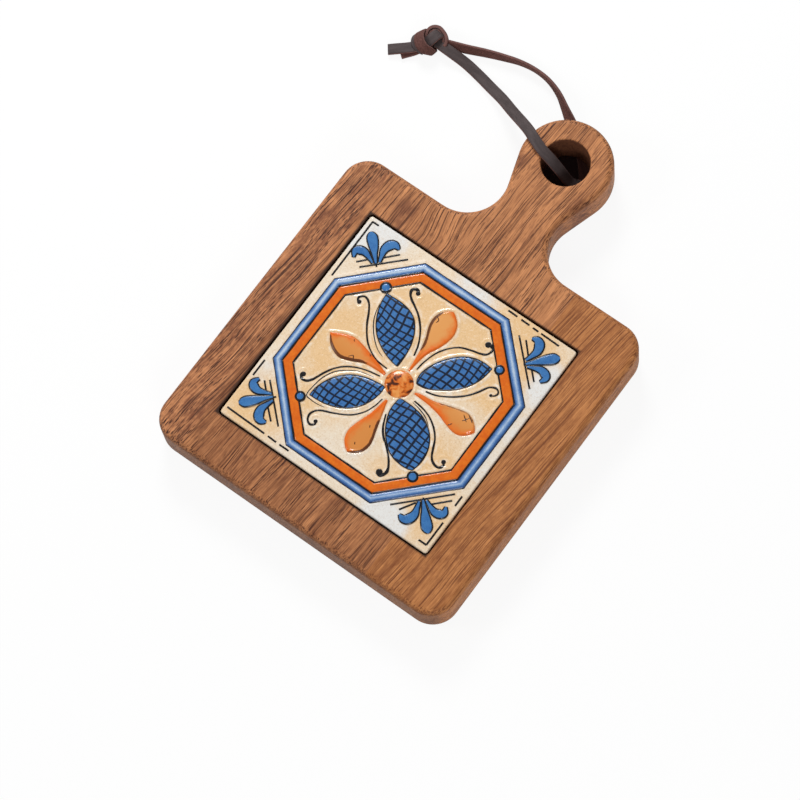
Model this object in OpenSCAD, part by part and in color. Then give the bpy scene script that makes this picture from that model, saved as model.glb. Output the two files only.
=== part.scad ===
// Table mat: a handled wooden board with a glazed relief tile let into it and a leather hanging lace.
// The origin is on the table, below the middle of the board's whole length. +Y points to the handle.

/* [Body] */
// Width of the square body
body_w = 152; // [144:1:190]
// Length of the square body
body_l = 152; // [144:1:190]
// Thickness of the board
board_t = 19; // [16:0.5:25]
// Radius of the body's corners, seen from above
corner_r = 12; // [8:0.5:18]
// Radius of the rounded edges
edge_r = 3; // [1:0.25:4]

/* [Handle] */
// Width of the neck at its narrowest
neck_w = 28.2; // [24:0.2:32]
// Radius of the hollow shoulders beside the neck
shoulder_r = 18; // [15:0.5:20]
// Radius of the round head
head_r = 20.9; // [19:0.1:23]
// Length of the neck's straight sides, between the shoulders and the head
neck_l = 15.86; // [8:0.01:30]
// Diameter of the hanging hole
hole_d = 21.4; // [20.6:0.2:24]
// Radius of the hole's eased edges
hole_edge_r = 0.8; // [0.3:0.1:1.2]

/* [Staves] */
// Width of the left stave
left_stave_w = 17.4; // [16:0.2:18]
// Width of the right stave
right_stave_w = 37.4; // [30:0.2:42]

/* [Tile] */
// Width and length of the square tile
tile_w = 108; // [98:0.5:108]
// Thickness of the tile below its relief
tile_t = 7; // [5:0.25:9]
// Radius of the tile's corners, seen from above
tile_corner_r = 1.2; // [0.8:0.1:2]
// Radius of the tile's soft top edge
tile_edge_r = 0.7; // [0.3:0.1:0.8]
// Open joint between the tile and the wood
tile_gap = 0.95; // [0.5:0.05:1.2]
// Corner radius of the recess
recess_corner_r = 2.5; // [1.5:0.1:4]
// Height of the relief over the glazed field
relief_h = 0.6; // [0.3:0.05:1]

/* [Adhesive bed] */
// Thickness of the adhesive under the tile
bed_t = 1; // [0.5:0.1:1.5]
// Distance from the tile's edge to the adhesive
bed_margin = 6; // [2:0.5:12]

/* [Pads] */
// Diameter of the felt pads
pad_d = 12; // [8:0.5:16]
// Thickness of the felt pads
pad_t = 2; // [2:0.1:3]
// Distance from the body's edges to a pad's centre
pad_inset = 16; // [12:0.5:24]

/* [Lace] */
// Width of the flat leather lace
lace_w = 5; // [4:0.1:5.2]
// Thickness of the lace
lace_t = 1.4; // [1:0.05:1.4]
// Bevel along the lace's cut edges
lace_bevel = 0.25; // [0.1:0.05:0.3]

/* [Hidden] */
$fn = 96;
// How far a cut runs past the wood that it cuts
overrun = 1;
// How far the relief is rooted in the tile
relief_root = 0.4;
// Steps to which the head's distance and the neck's two seam points are rounded off
reach_step = 0.1;
seam_step = 0.0001;
// How far a seam's slice of waste reaches to both sides, and how far it stays outside the round
seam_reach = 0.05;
seam_stand = 0.05;

function rounded(v, step) = round(v / step) * step;

// Distance from the body's back edge to the head's centre, which leaves the neck its straight sides
head_reach = rounded(
    shoulder_r + sqrt(pow(shoulder_r + head_r, 2) + pow(neck_l, 2) - pow(neck_w / 2 + shoulder_r, 2)),
    reach_step
);
board_l = body_l + head_reach + head_r;
underside_z = pad_t;
top_z = pad_t + board_t;
body_at = [0, (body_l - board_l) / 2];
head_at = [0, body_at.y + body_l / 2 + head_reach];
corner_out = [body_w / 2 - corner_r, body_l / 2 - corner_r];
shoulder_at = [neck_w / 2 + shoulder_r, body_at.y + body_l / 2 + shoulder_r];
recess_w = tile_w + 2 * tile_gap;
recess_d = tile_t + bed_t;

function spoke(angle) = [cos(angle), sin(angle)];
function unit(v) = v / norm(v);
function snapped(p) = [rounded(p.x, seam_step), rounded(p.y, seam_step)];

// The side of the neck is the inner tangent of the shoulder's circle and the head's.
// tangent_turn is the direction from the shoulder's centre to the point that it touches.
// The two points are rounded off to seam_step, so that all that meets there has the same corner.
shoulder_to_head = head_at - shoulder_at;
tangent_turn = atan2(shoulder_to_head.y, shoulder_to_head.x)
    + acos((shoulder_r + head_r) / norm(shoulder_to_head));
neck_start = snapped(shoulder_at + shoulder_r * spoke(tangent_turn));
neck_end = snapped(head_at - head_r * spoke(tangent_turn));

module rounded_square(size, r) {
    square([size.x - 2 * r, size.y], center = true);
    square([size.x, size.y - 2 * r], center = true);
    for (x = [-1, 1], y = [-1, 1])
        translate([x * (size.x / 2 - r), y * (size.y / 2 - r)]) circle(r);
}

// The board seen from above: body, hollow shoulders, neck and round head
module outline() {
    translate(body_at) rounded_square([body_w, body_l], corner_r);
    translate(head_at) circle(head_r);
    foot = [shoulder_at.x, body_at.y + body_l / 2];
    for (side = [0, 1]) mirror([side, 0]) difference() {
        polygon([[0, body_at.y], [foot.x, body_at.y], foot, neck_start, neck_end, head_at]);
        translate(shoulder_at) circle(shoulder_r);
    }
}

// What a rounded edge takes away, in section: a square corner less its round.
// The edge is at the origin, x points out of the wood and y up.
module edge_waste(r) {
    difference() {
        translate([-r, -r]) square(r + overrun);
        translate([-r, -r]) circle(r);
    }
}

// Carries a section along a straight edge from a to b, with the wood on its left
module along(a, b) {
    run = b - a;
    translate([a.x, a.y, 0]) rotate([0, 0, atan2(run.y, run.x)]) rotate([90, 0, 90])
        linear_extrude(norm(run)) mirror([1, 0]) children();
}

// A thin slice of waste across a seam between two runs. Where their ends differ by a rounding error,
// it takes away the film of wood that they would leave standing.
module seam(at, heading) {
    along(at - seam_reach * heading, at + seam_reach * heading)
        translate([seam_stand, seam_stand]) edge_waste(edge_r);
}

// Carries a section round an outside curve
module round_outside(at, from, turn, bend_r) {
    translate([at.x, at.y, 0]) rotate([0, 0, from])
        rotate_extrude(angle = turn) translate([bend_r, 0]) children();
}

// Carries a section round an inside curve, such as a hole's
module round_inside(at, from, turn, bend_r) {
    translate([at.x, at.y, 0]) rotate([0, 0, from])
        rotate_extrude(angle = turn) translate([bend_r, 0]) mirror([1, 0]) children();
}

// The waste along the edge of the board's right half
module half_edge_waste() {
    front = body_at.y - body_l / 2;
    back = body_at.y + body_l / 2;
    low = body_at.y - corner_out.y;
    high = body_at.y + corner_out.y;
    along([0, front], [corner_out.x, front]) edge_waste(edge_r);
    round_outside([corner_out.x, low], -90, 90, corner_r) edge_waste(edge_r);
    along([body_w / 2, low], [body_w / 2, high]) edge_waste(edge_r);
    round_outside([corner_out.x, high], 0, 90, corner_r) edge_waste(edge_r);
    along([corner_out.x, back], [shoulder_at.x, back]) edge_waste(edge_r);
    round_inside(shoulder_at, tangent_turn, 270 - tangent_turn, shoulder_r) edge_waste(edge_r);
    along(neck_start, neck_end) edge_waste(edge_r);
    mirror([1, 0, 0]) round_outside(head_at, 90, 270 - tangent_turn, head_r) edge_waste(edge_r);
    seam([shoulder_at.x, back], [-1, 0]);
    for (end = [neck_start, neck_end]) seam(end, unit(neck_end - neck_start));
}

module board() {
    difference() {
        translate([0, 0, underside_z]) linear_extrude(board_t) outline();
        for (side = [0, 1]) mirror([side, 0, 0]) {
            translate([0, 0, top_z]) half_edge_waste();
            translate([0, 0, underside_z]) mirror([0, 0, 1]) half_edge_waste();
        }
        translate([head_at.x, head_at.y, underside_z - overrun])
            cylinder(d = hole_d, h = board_t + 2 * overrun);
        translate([0, 0, top_z]) round_inside(head_at, 0, 360, hole_d / 2) edge_waste(hole_edge_r);
        translate([0, 0, underside_z]) mirror([0, 0, 1])
            round_inside(head_at, 0, 360, hole_d / 2) edge_waste(hole_edge_r);
        translate([body_at.x, body_at.y, top_z - recess_d])
            linear_extrude(recess_d + overrun) rounded_square([recess_w, recess_w], recess_corner_r);
    }
}

// The slice of the board between two upright planes across its width
module stave(from_x, to_x) {
    intersection() {
        board();
        translate([from_x, -board_l / 2 - overrun, 0])
            cube([to_x - from_x, board_l + 2 * overrun, top_z + overrun]);
    }
}

left_glue_x = left_stave_w - body_w / 2;
right_glue_x = body_w / 2 - right_stave_w;

module left_stave() {
    color("#96623f") stave(-body_w / 2 - overrun, left_glue_x);
}
module centre_stave() {
    color("#b07650") stave(left_glue_x, right_glue_x);
}
module right_stave() {
    color("#b27648") stave(right_glue_x, body_w / 2 + overrun);
}

module tile_bed() {
    bed_w = tile_w - 2 * bed_margin;
    color("#d8d2c4") translate([body_at.x - bed_w / 2, body_at.y - bed_w / 2, top_z - recess_d])
        cube([bed_w, bed_w, bed_t]);
}

module pad(side_x, side_y) {
    color("#4a3a2c")
        translate([side_x * (body_w / 2 - pad_inset), body_at.y + side_y * (body_l / 2 - pad_inset), 0])
            cylinder(d = pad_d, h = pad_t);
}
module pad_front_left() { pad(-1, -1); }
module pad_front_right() { pad(1, -1); }
module pad_back_left() { pad(-1, 1); }
module pad_back_right() { pad(1, 1); }

// Sizes of the tile's ornament, as shares of its width
frame_out_share = 0.46;
frame_in_share = 0.428;
band_in_share = 0.382;
frame_skew_share = 0.0074;
hub_r_share = 0.057;
hub_shares = [0.008, -0.0055];
dot_r_share = 0.0215;
dot_place_share = 0.281;
petal_shares = [0.31, 0.16];
petal_place_share = 0.222;
drop_neck_shares = [0.06, 0.011];
drop_bulb_shares = [0.275, 0.053];
drop_tip_share = 0.36;
drop_seat_share = 0.97;
fleur_place_shares = [0.376, 0.376];
fleur_middle_shares = [0.125, 0.048];
fleur_side_shares = [0.1, 0.036];
fleur_side_turn = 62;
ornament_at = [body_at.x + hub_shares.x * tile_w, body_at.y + hub_shares.y * tile_w];

// An octagon whose four diagonal sides lie a little further out than the straight ones
function octagon(out) =
    let (corner = sqrt(2) * (out + frame_skew_share * tile_w) - out)
    [for (quarter = [0:3], end = [-1, 1])
        let (a = 90 * quarter, p = [out, end * corner])
        [p.x * cos(a) - p.y * sin(a), p.x * sin(a) + p.y * cos(a)]];

// A leaf: two equal arcs meeting in points, shares.x long and shares.y wide, from the origin along x
module leaf(shares) {
    long = shares.x * tile_w;
    wide = shares.y * tile_w;
    r = (long * long + wide * wide) / (4 * wide);
    translate([long / 2, 0]) intersection() {
        translate([0, r - wide / 2]) circle(r);
        translate([0, wide / 2 - r]) circle(r);
    }
}

// A drop: a narrow neck that widens to a round bulb with a pointed end
module drop() {
    neck = drop_neck_shares * tile_w;
    bulb = drop_bulb_shares * tile_w;
    tip = drop_tip_share * tile_w;
    lean = asin((bulb.y - neck.y) / (bulb.x - neck.x));
    tip_lean = acos(bulb.y / (tip - bulb.x));
    inside_r = drop_seat_share * bulb.y;
    side = [bulb.x - inside_r * sin(lean), inside_r * cos(lean)];
    tip_side = [bulb.x + inside_r * cos(tip_lean), inside_r * sin(tip_lean)];
    translate([bulb.x, 0]) circle(bulb.y);
    polygon([
        neck, side, [bulb.x, 0], tip_side, [tip, 0], [tip_side.x, -tip_side.y],
        [bulb.x, 0], [side.x, -side.y], [neck.x, -neck.y]
    ]);
}

module raised(height) {
    translate([0, 0, top_z - relief_root]) linear_extrude(relief_root + height) children();
}

module ring_band(out_share, in_share) {
    difference() {
        polygon(octagon(out_share * tile_w));
        polygon(octagon(in_share * tile_w));
    }
}

module hub() {
    r = hub_r_share * tile_w;
    rise = 2 * relief_h;
    translate([ornament_at.x, ornament_at.y, top_z]) rotate_extrude() {
        translate([0, -relief_root]) square([r, relief_root]);
        square([r - rise, rise]);
        translate([r - rise, 0]) intersection() {
            circle(rise);
            square(rise);
        }
    }
}

module fleur() {
    translate(fleur_place_shares * tile_w) rotate(45) {
        leaf(fleur_middle_shares);
        for (side = [-1, 1]) rotate(side * fleur_side_turn) leaf(fleur_side_shares);
    }
}

// What the tile's soft top edge takes away
module tile_edge() {
    side = tile_w / 2;
    end = side - tile_corner_r;
    translate([body_at.x, body_at.y, top_z]) for (quarter = [0:3]) rotate([0, 0, 90 * quarter]) {
        along([side, -end], [side, end]) edge_waste(tile_edge_r);
        round_outside([end, end], 0, 90, tile_corner_r) edge_waste(tile_edge_r);
    }
}

module tile() {
    color("#efe3cf") difference() {
        translate([body_at.x, body_at.y, top_z - tile_t])
            linear_extrude(tile_t) rounded_square([tile_w, tile_w], tile_corner_r);
        tile_edge();
    }
    color("#3468b0") {
        raised(relief_h) translate(body_at) ring_band(frame_out_share, frame_in_share);
        for (quarter = [0:3]) {
            raised(relief_h) translate(ornament_at) rotate(90 * quarter + 45)
                translate([petal_place_share * tile_w - petal_shares.x * tile_w / 2, 0]) leaf(petal_shares);
            raised(relief_h / 2) translate(body_at) rotate(90 * quarter) fleur();
            raised(relief_h) translate(body_at) rotate(90 * quarter)
                translate([dot_place_share * tile_w, dot_place_share * tile_w]) circle(dot_r_share * tile_w);
        }
    }
    color("#e8711a") {
        raised(relief_h / 2) translate(body_at) ring_band(frame_in_share, band_in_share);
        for (quarter = [0:3]) raised(relief_h) translate(ornament_at) rotate(90 * quarter) drop();
        hub();
    }
}

// Section of the lace: x across its width, y through its thickness
lace_half_w = lace_w / 2;
lace_half_t = lace_t / 2;
lace_section = [
    [-lace_half_w, lace_bevel - lace_half_t], [lace_bevel - lace_half_w, -lace_half_t],
    [lace_half_w - lace_bevel, -lace_half_t], [lace_half_w, lace_bevel - lace_half_t],
    [lace_half_w, lace_half_t - lace_bevel], [lace_half_w - lace_bevel, lace_half_t],
    [lace_bevel - lace_half_w, lace_half_t], [-lace_half_w, lace_half_t - lace_bevel]
];
rings_per_span = 2;
fold_rings = 8;

// Routes of the lace's middle line: x, y, z, and how far its left edge is tilted up
front_route = [
    [-84, 107.4, 4.8, 0], [-76, 107.4, 3.6, 0], [-68, 107.4, 1.8, 0], [-60, 106.2, 1.1, 0],
    [-52, 104.2, 2, 0], [-44, 101.7, 5, 0], [-35.5, 97.8, 10.5, 0], [-27, 93.9, 17, 0],
    [-21.5, 91.2, 21.1, 0], [-17, 89, 22.1, 0], [-11.4, 86.8, 22, 0], [-6.5, 86, 20.2, 0],
    [-2.5, 85.8, 16, 0], [1.2, 85.9, 10.2, 0], [3.4, 86.3, 6.7, 0], [5.5, 87.1, 5.1, 0]
];
back_route = [
    [6.7, 92.2, 1.1, 0], [3.9, 95.8, 1.1, 0], [0.5, 99.6, 1, 0], [-4, 103.9, 1, 0],
    [-9.5, 108, 1.1, -2], [-14.2, 111, 2, -32], [-19.2, 114.2, 2.7, -60], [-26, 118.5, 2.8, -78],
    [-33.5, 121.2, 2.8, -89], [-41, 121.9, 2.8, -94], [-48.4, 121, 2.8, -91], [-55.8, 118.8, 2.8, -82],
    [-63.4, 116.1, 2.8, -73], [-71, 113, 2.8, -66], [-78, 110.4, 2.8, -60], [-84, 108.2, 2.7, -55]
];
front_tail_route = [[-88.5, 103, 3.2, 0], [-93, 98.8, 2.7, 0], [-97, 95.9, 1.9, 0], [-100.4, 93.3, 1.4, 0]];
back_tail_route = [[-87.5, 103.5, 2, 0], [-90, 99.5, 1.1, 0], [-92, 96.8, 1, 0], [-93.4, 94.6, 1, 0]];

// In the hole the lace folds back under the head: half a turn round an axis aslant to it
fold_start = [5.5, 87.1, 5.1];
fold_r = 2;
fold_heading_in = 27;
fold_heading_out = 127;
fold_axis_turn = (fold_heading_in + fold_heading_out) / 2;
fold_axis = concat(spoke(fold_axis_turn), 0);
fold_across = concat(spoke(fold_axis_turn - 90), 0);
fold_slant = fold_axis_turn - fold_heading_in;
fold_advance = PI * fold_r / tan(fold_slant);

// A point of the smooth curve through a route's points, s counted in points
function on_route(route, s) =
    let (
        last = len(route) - 1, i = min(floor(s), last - 1), t = s - i,
        a = route[max(i - 1, 0)], b = route[i], c = route[i + 1], d = route[min(i + 2, last)]
    )
    b + t * (c - a) / 2 + t * t * (2 * a - 5 * b + 4 * c - d) / 2 + t * t * t * (3 * b - a - 3 * c + d) / 2;
function place(p) = [p.x, p.y, p.z];
function ring(at, across, through) = [for (p = lace_section) at + p.x * across + p.y * through];
function tilted_ring(at, heading, tilt) =
    let (
        left = unit(cross([0, 0, 1], heading)), up = cross(heading, left),
        across = left * cos(tilt) + up * sin(tilt)
    )
    ring(at, across, cross(heading, across));
function route_rings(route) =
    let (steps = rings_per_span * (len(route) - 1), reach = 1 / (2 * rings_per_span))
    [for (i = [0:steps])
        let (
            s = i / rings_per_span, p = on_route(route, s),
            ahead = on_route(route, min(s + reach, len(route) - 1)),
            behind = on_route(route, max(s - reach, 0))
        )
        tilted_ring(place(p), unit(place(ahead) - place(behind)), p[3])];
fold = [for (i = [1:fold_rings])
    let (
        a = 180 * i / fold_rings,
        outward = fold_across * sin(a) + [0, 0, cos(a)],
        onward = fold_across * cos(a) - [0, 0, sin(a)],
        heading = onward * sin(fold_slant) + fold_axis * cos(fold_slant),
        at = fold_start - [0, 0, fold_r] + fold_r * outward + fold_axis * fold_advance * i / fold_rings
    )
    ring(at, cross(outward, heading), outward)];

// A solid with flat ends through a list of rings
module swept(rings) {
    sides = len(rings[0]);
    points = [for (r = rings) each r];
    walls = [for (i = [0:len(rings) - 2], j = [0:sides - 1])
        let (a = i * sides + j, b = i * sides + (j + 1) % sides)
        each [[a, a + sides, b + sides], [a, b + sides, b]]];
    start_cap = [for (j = [0:sides - 1]) j];
    end_cap = [for (j = [1:sides]) len(points) - j];
    polyhedron(points, concat(walls, [start_cap, end_cap]));
}

module lace_front_strand() {
    color("#5a4f4c") swept(concat(route_rings(front_route), fold));
}
module lace_back_strand() {
    color("#5c3a35") swept(route_rings(back_route));
}
module lace_front_tail() {
    color("#5a4f4c") swept(route_rings(front_tail_route));
}
module lace_back_tail() {
    color("#5c3a35") swept(route_rings(back_tail_route));
}

// The overhand knot: a wrap round both strands, a bight standing behind it and a bridge between them
knot_gap = 0.3;
wrap_at = [-87.5, 103.5, 4.1];
wrap_turn = -9;
wrap_r = [6.4, 3.8];
bight_at = [-86.6, 110.5, 1.6];
bight_r = 5.2;
bridge_at = [-84.6, 107.4, 7];
bridge_l = 7;

function ellipse(r, steps) = [for (i = [0:steps - 1]) let (a = 360 * i / steps) [r.x * cos(a), r.y * sin(a)]];

module lace_knot() {
    color("#5c3a35") {
        translate(wrap_at) rotate([90, 0, wrap_turn]) translate([0, 0, -lace_half_w])
            linear_extrude(lace_w) polygon(ellipse(wrap_r, 32));
        translate(bight_at) cylinder(r = bight_r, h = lace_w);
        translate(bridge_at) rotate([0, 0, wrap_turn])
            translate([-lace_half_w, -bridge_l / 2, -lace_w]) cube([lace_w, bridge_l, lace_w + lace_half_t]);
    }
}

left_stave();
centre_stave();
right_stave();
tile();
tile_bed();
pad_front_left();
pad_front_right();
pad_back_left();
pad_back_right();
lace_front_strand();
lace_back_strand();
lace_knot();
lace_front_tail();
lace_back_tail();
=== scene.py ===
"""Dresses the table mat: three wooden staves, a glazed relief tile, felt pads and a flat leather lace.

Shapes are worked out in millimetres on numpy grids and put into the meshes in metres. The tile's
ornament is written in millimetres from the tile's centre, x to the right and y to the handle.
"""
import math

import bmesh
import bpy
import numpy as np
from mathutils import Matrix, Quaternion, Vector


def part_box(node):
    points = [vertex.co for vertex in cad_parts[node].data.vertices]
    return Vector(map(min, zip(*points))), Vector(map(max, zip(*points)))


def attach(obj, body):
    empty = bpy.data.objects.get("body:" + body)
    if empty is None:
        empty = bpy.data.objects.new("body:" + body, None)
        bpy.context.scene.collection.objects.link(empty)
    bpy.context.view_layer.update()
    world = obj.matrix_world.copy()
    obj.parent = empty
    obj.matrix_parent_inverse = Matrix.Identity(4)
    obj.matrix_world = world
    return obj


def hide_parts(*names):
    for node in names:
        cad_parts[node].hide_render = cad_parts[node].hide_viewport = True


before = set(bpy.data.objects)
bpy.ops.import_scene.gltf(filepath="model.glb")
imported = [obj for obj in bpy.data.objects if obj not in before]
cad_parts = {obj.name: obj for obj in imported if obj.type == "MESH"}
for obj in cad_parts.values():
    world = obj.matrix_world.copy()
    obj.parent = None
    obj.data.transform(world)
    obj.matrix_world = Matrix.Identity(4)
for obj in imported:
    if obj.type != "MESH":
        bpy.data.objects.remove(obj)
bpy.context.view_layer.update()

MM = 0.001


def box_mm(node):
    """The low and the high corner of a CAD node's box, in millimetres."""
    return [np.array(corner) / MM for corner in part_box(node)]


tile_low, tile_high = box_mm("tile")
TILE_HALF = (tile_high[0] - tile_low[0]) / 2
TILE_AT = (tile_low + tile_high)[:2] / 2
BOARD_END, TOP = box_mm("centre_stave")[1][1:]


def linear(*srgb):
    """A colour written 0 to 255 in sRGB, as the linear colour with alpha that a shader takes."""
    c = np.array(srgb) / 255
    return (*np.where(c <= 0.04045, c / 12.92, ((c + 0.055) / 1.055) ** 2.4), 1.0)


# Camera and light, in metres

AIM = Vector((0.0054, -0.0391, 0.021))
AZIMUTH, ELEVATION, ROLL = (math.radians(a) for a in (47.617, 71.373, -11.817))
DISTANCE = 1.4779
FOCAL_PX, IMAGE_PX, SENSOR_MM = 3514, 800, 36
# Square softboxes: place, size and power in watts
LAMPS = {
    "softbox_back": ((-0.6, 0.62, 0.78), 0.36, 8.6),
    "softbox_right": ((1.0, -0.9, 1.0), 0.5, 7.8),
    "softbox_left": ((-1.1, -0.9, 1.1), 0.5, 6.4),
}
LAMPS_AIM = Vector((0.0, -0.02, 0.0))
WORLD_STRENGTH = 0.3


def set_up(name, data, place, turn):
    """Puts a camera or a lamp at a place, turned by a quaternion."""
    made = bpy.data.objects.new(name, data)
    made.location = place
    made.rotation_mode = "QUATERNION"
    made.rotation_quaternion = turn
    bpy.context.scene.collection.objects.link(made)
    return made


def make_camera():
    """Looks at AIM from AZIMUTH and ELEVATION, turned by ROLL about the line of sight."""
    data = bpy.data.cameras.new("camera")
    data.sensor_width = SENSOR_MM
    data.lens = FOCAL_PX * SENSOR_MM / IMAGE_PX
    level = math.cos(ELEVATION)
    back = Vector((math.sin(AZIMUTH) * level, -math.cos(AZIMUTH) * level, math.sin(ELEVATION)))
    turn = (-back).to_track_quat("-Z", "Y") @ Quaternion((0, 0, 1), ROLL)
    bpy.context.scene.camera = set_up("camera", data, AIM + back * DISTANCE, turn)


def make_lamp(name, place, size, power):
    """A square softbox that faces LAMPS_AIM."""
    data = bpy.data.lights.new(name, "AREA")
    data.size, data.energy = size, power
    set_up(name, data, place, (LAMPS_AIM - Vector(place)).to_track_quat("-Z", "Y"))


# Shader arithmetic

class Sock:
    """The output of a shader node, with the arithmetic that the materials use."""

    def __init__(self, paint, out):
        self.paint, self.out = paint, out

    def math(self, operation, *others):
        """A Math node on this value and the others."""
        return self.paint.node("ShaderNodeMath", {"operation": operation}, (self, *others))

    def __add__(self, other):
        return self.math("ADD", other)

    def __sub__(self, other):
        return self.math("SUBTRACT", other)

    def __mul__(self, other):
        return self.math("MULTIPLY", other)

    def __rsub__(self, other):
        return self.paint.node("ShaderNodeMath", {"operation": "SUBTRACT"}, (other, self))

    __radd__, __rmul__ = __add__, __mul__

    def step(self, low, high):
        """0 below low, 1 above high, smooth between; the other way round where low is the larger."""
        ends = {"From Min": min(low, high), "From Max": max(low, high)}
        if low > high:
            ends.update({"To Min": 1.0, "To Max": 0.0})
        settings = {"interpolation_type": "SMOOTHSTEP"}
        return self.paint.node("ShaderNodeMapRange", settings, {"Value": self, **ends})


class Paint:
    """A material with a Principled shader, built node by node."""

    def __init__(self, name):
        self.material = bpy.data.materials.new(name)
        self.material.use_nodes = True
        self.tree = self.material.node_tree
        self.shader = self.tree.nodes["Principled BSDF"]

    def node(self, kind, settings=None, inputs=(), output=0):
        """Adds a node: its settings first, a ramp's stops among them, then its sockets' values or links."""
        made = self.tree.nodes.new(kind)
        for key, value in (settings or {}).items():
            if key == "stops":
                self.stops(made.color_ramp.elements, value)
            else:
                setattr(made, key, value)
        pairs = inputs.items() if isinstance(inputs, dict) else enumerate(inputs)
        for key, value in pairs:
            self.feed(made.inputs[key], value)
        return Sock(self, made.outputs[output])

    def stops(self, elements, wanted):
        """Sets a ramp's stops, a place of 0 to 1 and its colour each."""
        while len(elements) < len(wanted):
            elements.new(1.0)
        for element, (at, colour) in zip(elements, wanted):
            element.position, element.color = at, colour

    def feed(self, socket, value):
        """Links a node's output to a socket, or sets its value."""
        if isinstance(value, Sock):
            self.tree.links.new(value.out, socket)
        else:
            socket.default_value = value

    def set(self, **values):
        """Values or links of the Principled shader, with _ in place of each space."""
        for key, value in values.items():
            self.feed(self.shader.inputs[key.replace("_", " ")], value)
        return self

    def scaled(self, vector, scales):
        """A vector times another, axis by axis."""
        return self.node("ShaderNodeVectorMath", {"operation": "MULTIPLY"}, (vector, scales))

    def place(self, scale=1.0, turn=0.0, shift=(0, 0, 0)):
        """Object coordinates in millimetres, turned about Z in degrees, shifted, then scaled."""
        here = self.node("ShaderNodeTexCoord", output="Object")
        turned = self.node("ShaderNodeMapping", {}, {
            "Vector": here, "Location": shift, "Rotation": (0, 0, math.radians(turn)),
            "Scale": (1 / MM, 1 / MM, 1 / MM),
        })
        return self.scaled(turned, scale if isinstance(scale, tuple) else (scale, scale, scale))

    def noise(self, vector, detail=2.0, rough=0.5, distort=0.0):
        """Smooth noise around 0.5, about one wave to each unit of the vector."""
        inputs = {"Vector": vector, "Scale": 1.0, "Detail": detail, "Roughness": rough, "Distortion": distort}
        return self.node("ShaderNodeTexNoise", {}, inputs)

    def cells(self, vector):
        """The distance to the nearest of scattered points."""
        return self.node("ShaderNodeTexVoronoi", {}, {"Vector": vector, "Scale": 1.0}, output="Distance")

    def mix(self, share, a, b):
        """The colour a where share is 0, and b where it is 1."""
        settings = {"data_type": "RGBA", "blend_type": "MIX", "clamp_factor": True}
        return self.node("ShaderNodeMix", settings, {0: share, 6: a, 7: b}, output=2)

    def ramp(self, value, *stops):
        """The colour at a value, between stops of a value and its colour each."""
        return self.node("ShaderNodeValToRGB", {"stops": stops}, (value,))

    def attribute(self, name):
        """A mesh's field of one number per point."""
        return self.node("ShaderNodeAttribute", {"attribute_name": name}, output="Fac")

    def axes(self, vector):
        """A vector's x, y and z."""
        made = self.node("ShaderNodeSeparateXYZ", {}, (vector,)).out.node
        return [Sock(self, out) for out in made.outputs]

    def bump(self, height, depth_mm, strength=1.0):
        """Turns a height of 0 to 1 into a normal, depth_mm deep."""
        inputs = {"Height": height, "Distance": depth_mm * MM, "Strength": strength}
        return self.node("ShaderNodeBump", {}, inputs)


def distance(x, y, at):
    """How far a shaded place is from a spot on the board, in millimetres."""
    off_x, off_y = x - at[0], y - at[1]
    return (off_x * off_x + off_y * off_y).math("SQRT")


# Meshes

# Points nearer than the first are merged, and faces thinner than the second are taken away
MERGE_MM, SLIVER_MM = 1e-3, 1e-4


def make_piece(name, shape, paint, stands_for="tile", body="board"):
    """A piece that stands for a CAD node, from its shape: points in millimetres, faces and fields.

    faces is a list of arrays of point numbers, one face to a row; fields holds one number per point for
    each attribute's name. Doubled points are merged, so that seams and poles are closed, and the normals
    are turned outwards.
    """
    points, faces, fields = shape
    mesh = bpy.data.meshes.new(name)
    mesh.from_pydata((points * MM).tolist(), [], [face for block in faces for face in block.tolist()])
    for key, values in fields.items():
        mesh.attributes.new(key, "FLOAT", "POINT").data.foreach_set("value", np.asarray(values, float))
    work = bmesh.new()
    work.from_mesh(mesh)
    bmesh.ops.remove_doubles(work, verts=work.verts, dist=MERGE_MM * MM)
    bmesh.ops.dissolve_degenerate(work, edges=work.edges, dist=SLIVER_MM * MM)
    bmesh.ops.recalc_face_normals(work, faces=work.faces)
    work.to_mesh(mesh)
    work.free()
    mesh.validate()
    mesh.polygons.foreach_set("use_smooth", np.ones(len(mesh.polygons), bool))
    piece = bpy.data.objects.new(name, mesh)
    bpy.context.scene.collection.objects.link(piece)
    mesh.materials.append(paint.material)
    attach(piece, body)
    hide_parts(stands_for)
    return piece


def grid_ids(rows, columns):
    """Numbers of a grid's points, row by row."""
    return np.arange(rows * columns).reshape(rows, columns)


def grid_faces(ids):
    """Quads between the neighbours of a grid of point numbers."""
    return np.stack([ids[:-1, :-1], ids[:-1, 1:], ids[1:, 1:], ids[1:, :-1]], -1).reshape(-1, 4)


def tube_faces(rows, columns):
    """Quads of a grid whose last column joins its first."""
    ids = grid_ids(rows, columns)
    return grid_faces(np.hstack([ids, ids[:, :1]]))


def rim_of(ids):
    """The point numbers round a grid's border, back to the first."""
    return np.concatenate([ids[0], ids[1:, -1], ids[-1, -2::-1], ids[-2::-1, 0]])


def wall_faces(upper, lower):
    """Quads between two rows of as many point numbers."""
    return np.column_stack([upper[:-1], lower[:-1], lower[1:], upper[1:]])


def each(value, rows):
    """One number for each row, from one number for all of them or from a list."""
    return np.broadcast_to(np.asarray(value, float), (len(rows),))


def smooth_curve(points, per_span):
    """The Catmull-Rom curve through rows of numbers, with per_span steps between two of them."""
    p = np.asarray(points, float)
    last = len(p) - 1
    s = np.linspace(0, last, last * per_span + 1)
    i = np.minimum(s.astype(int), last - 1)
    t = (s - i)[:, None]
    a, b, c, d = p[np.maximum(i - 1, 0)], p[i], p[i + 1], p[np.minimum(i + 2, last)]
    return b + t * (c - a) / 2 + t**2 * (2 * a - 5 * b + 4 * c - d) / 2 + t**3 * (3 * b - a - 3 * c + d) / 2


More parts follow.
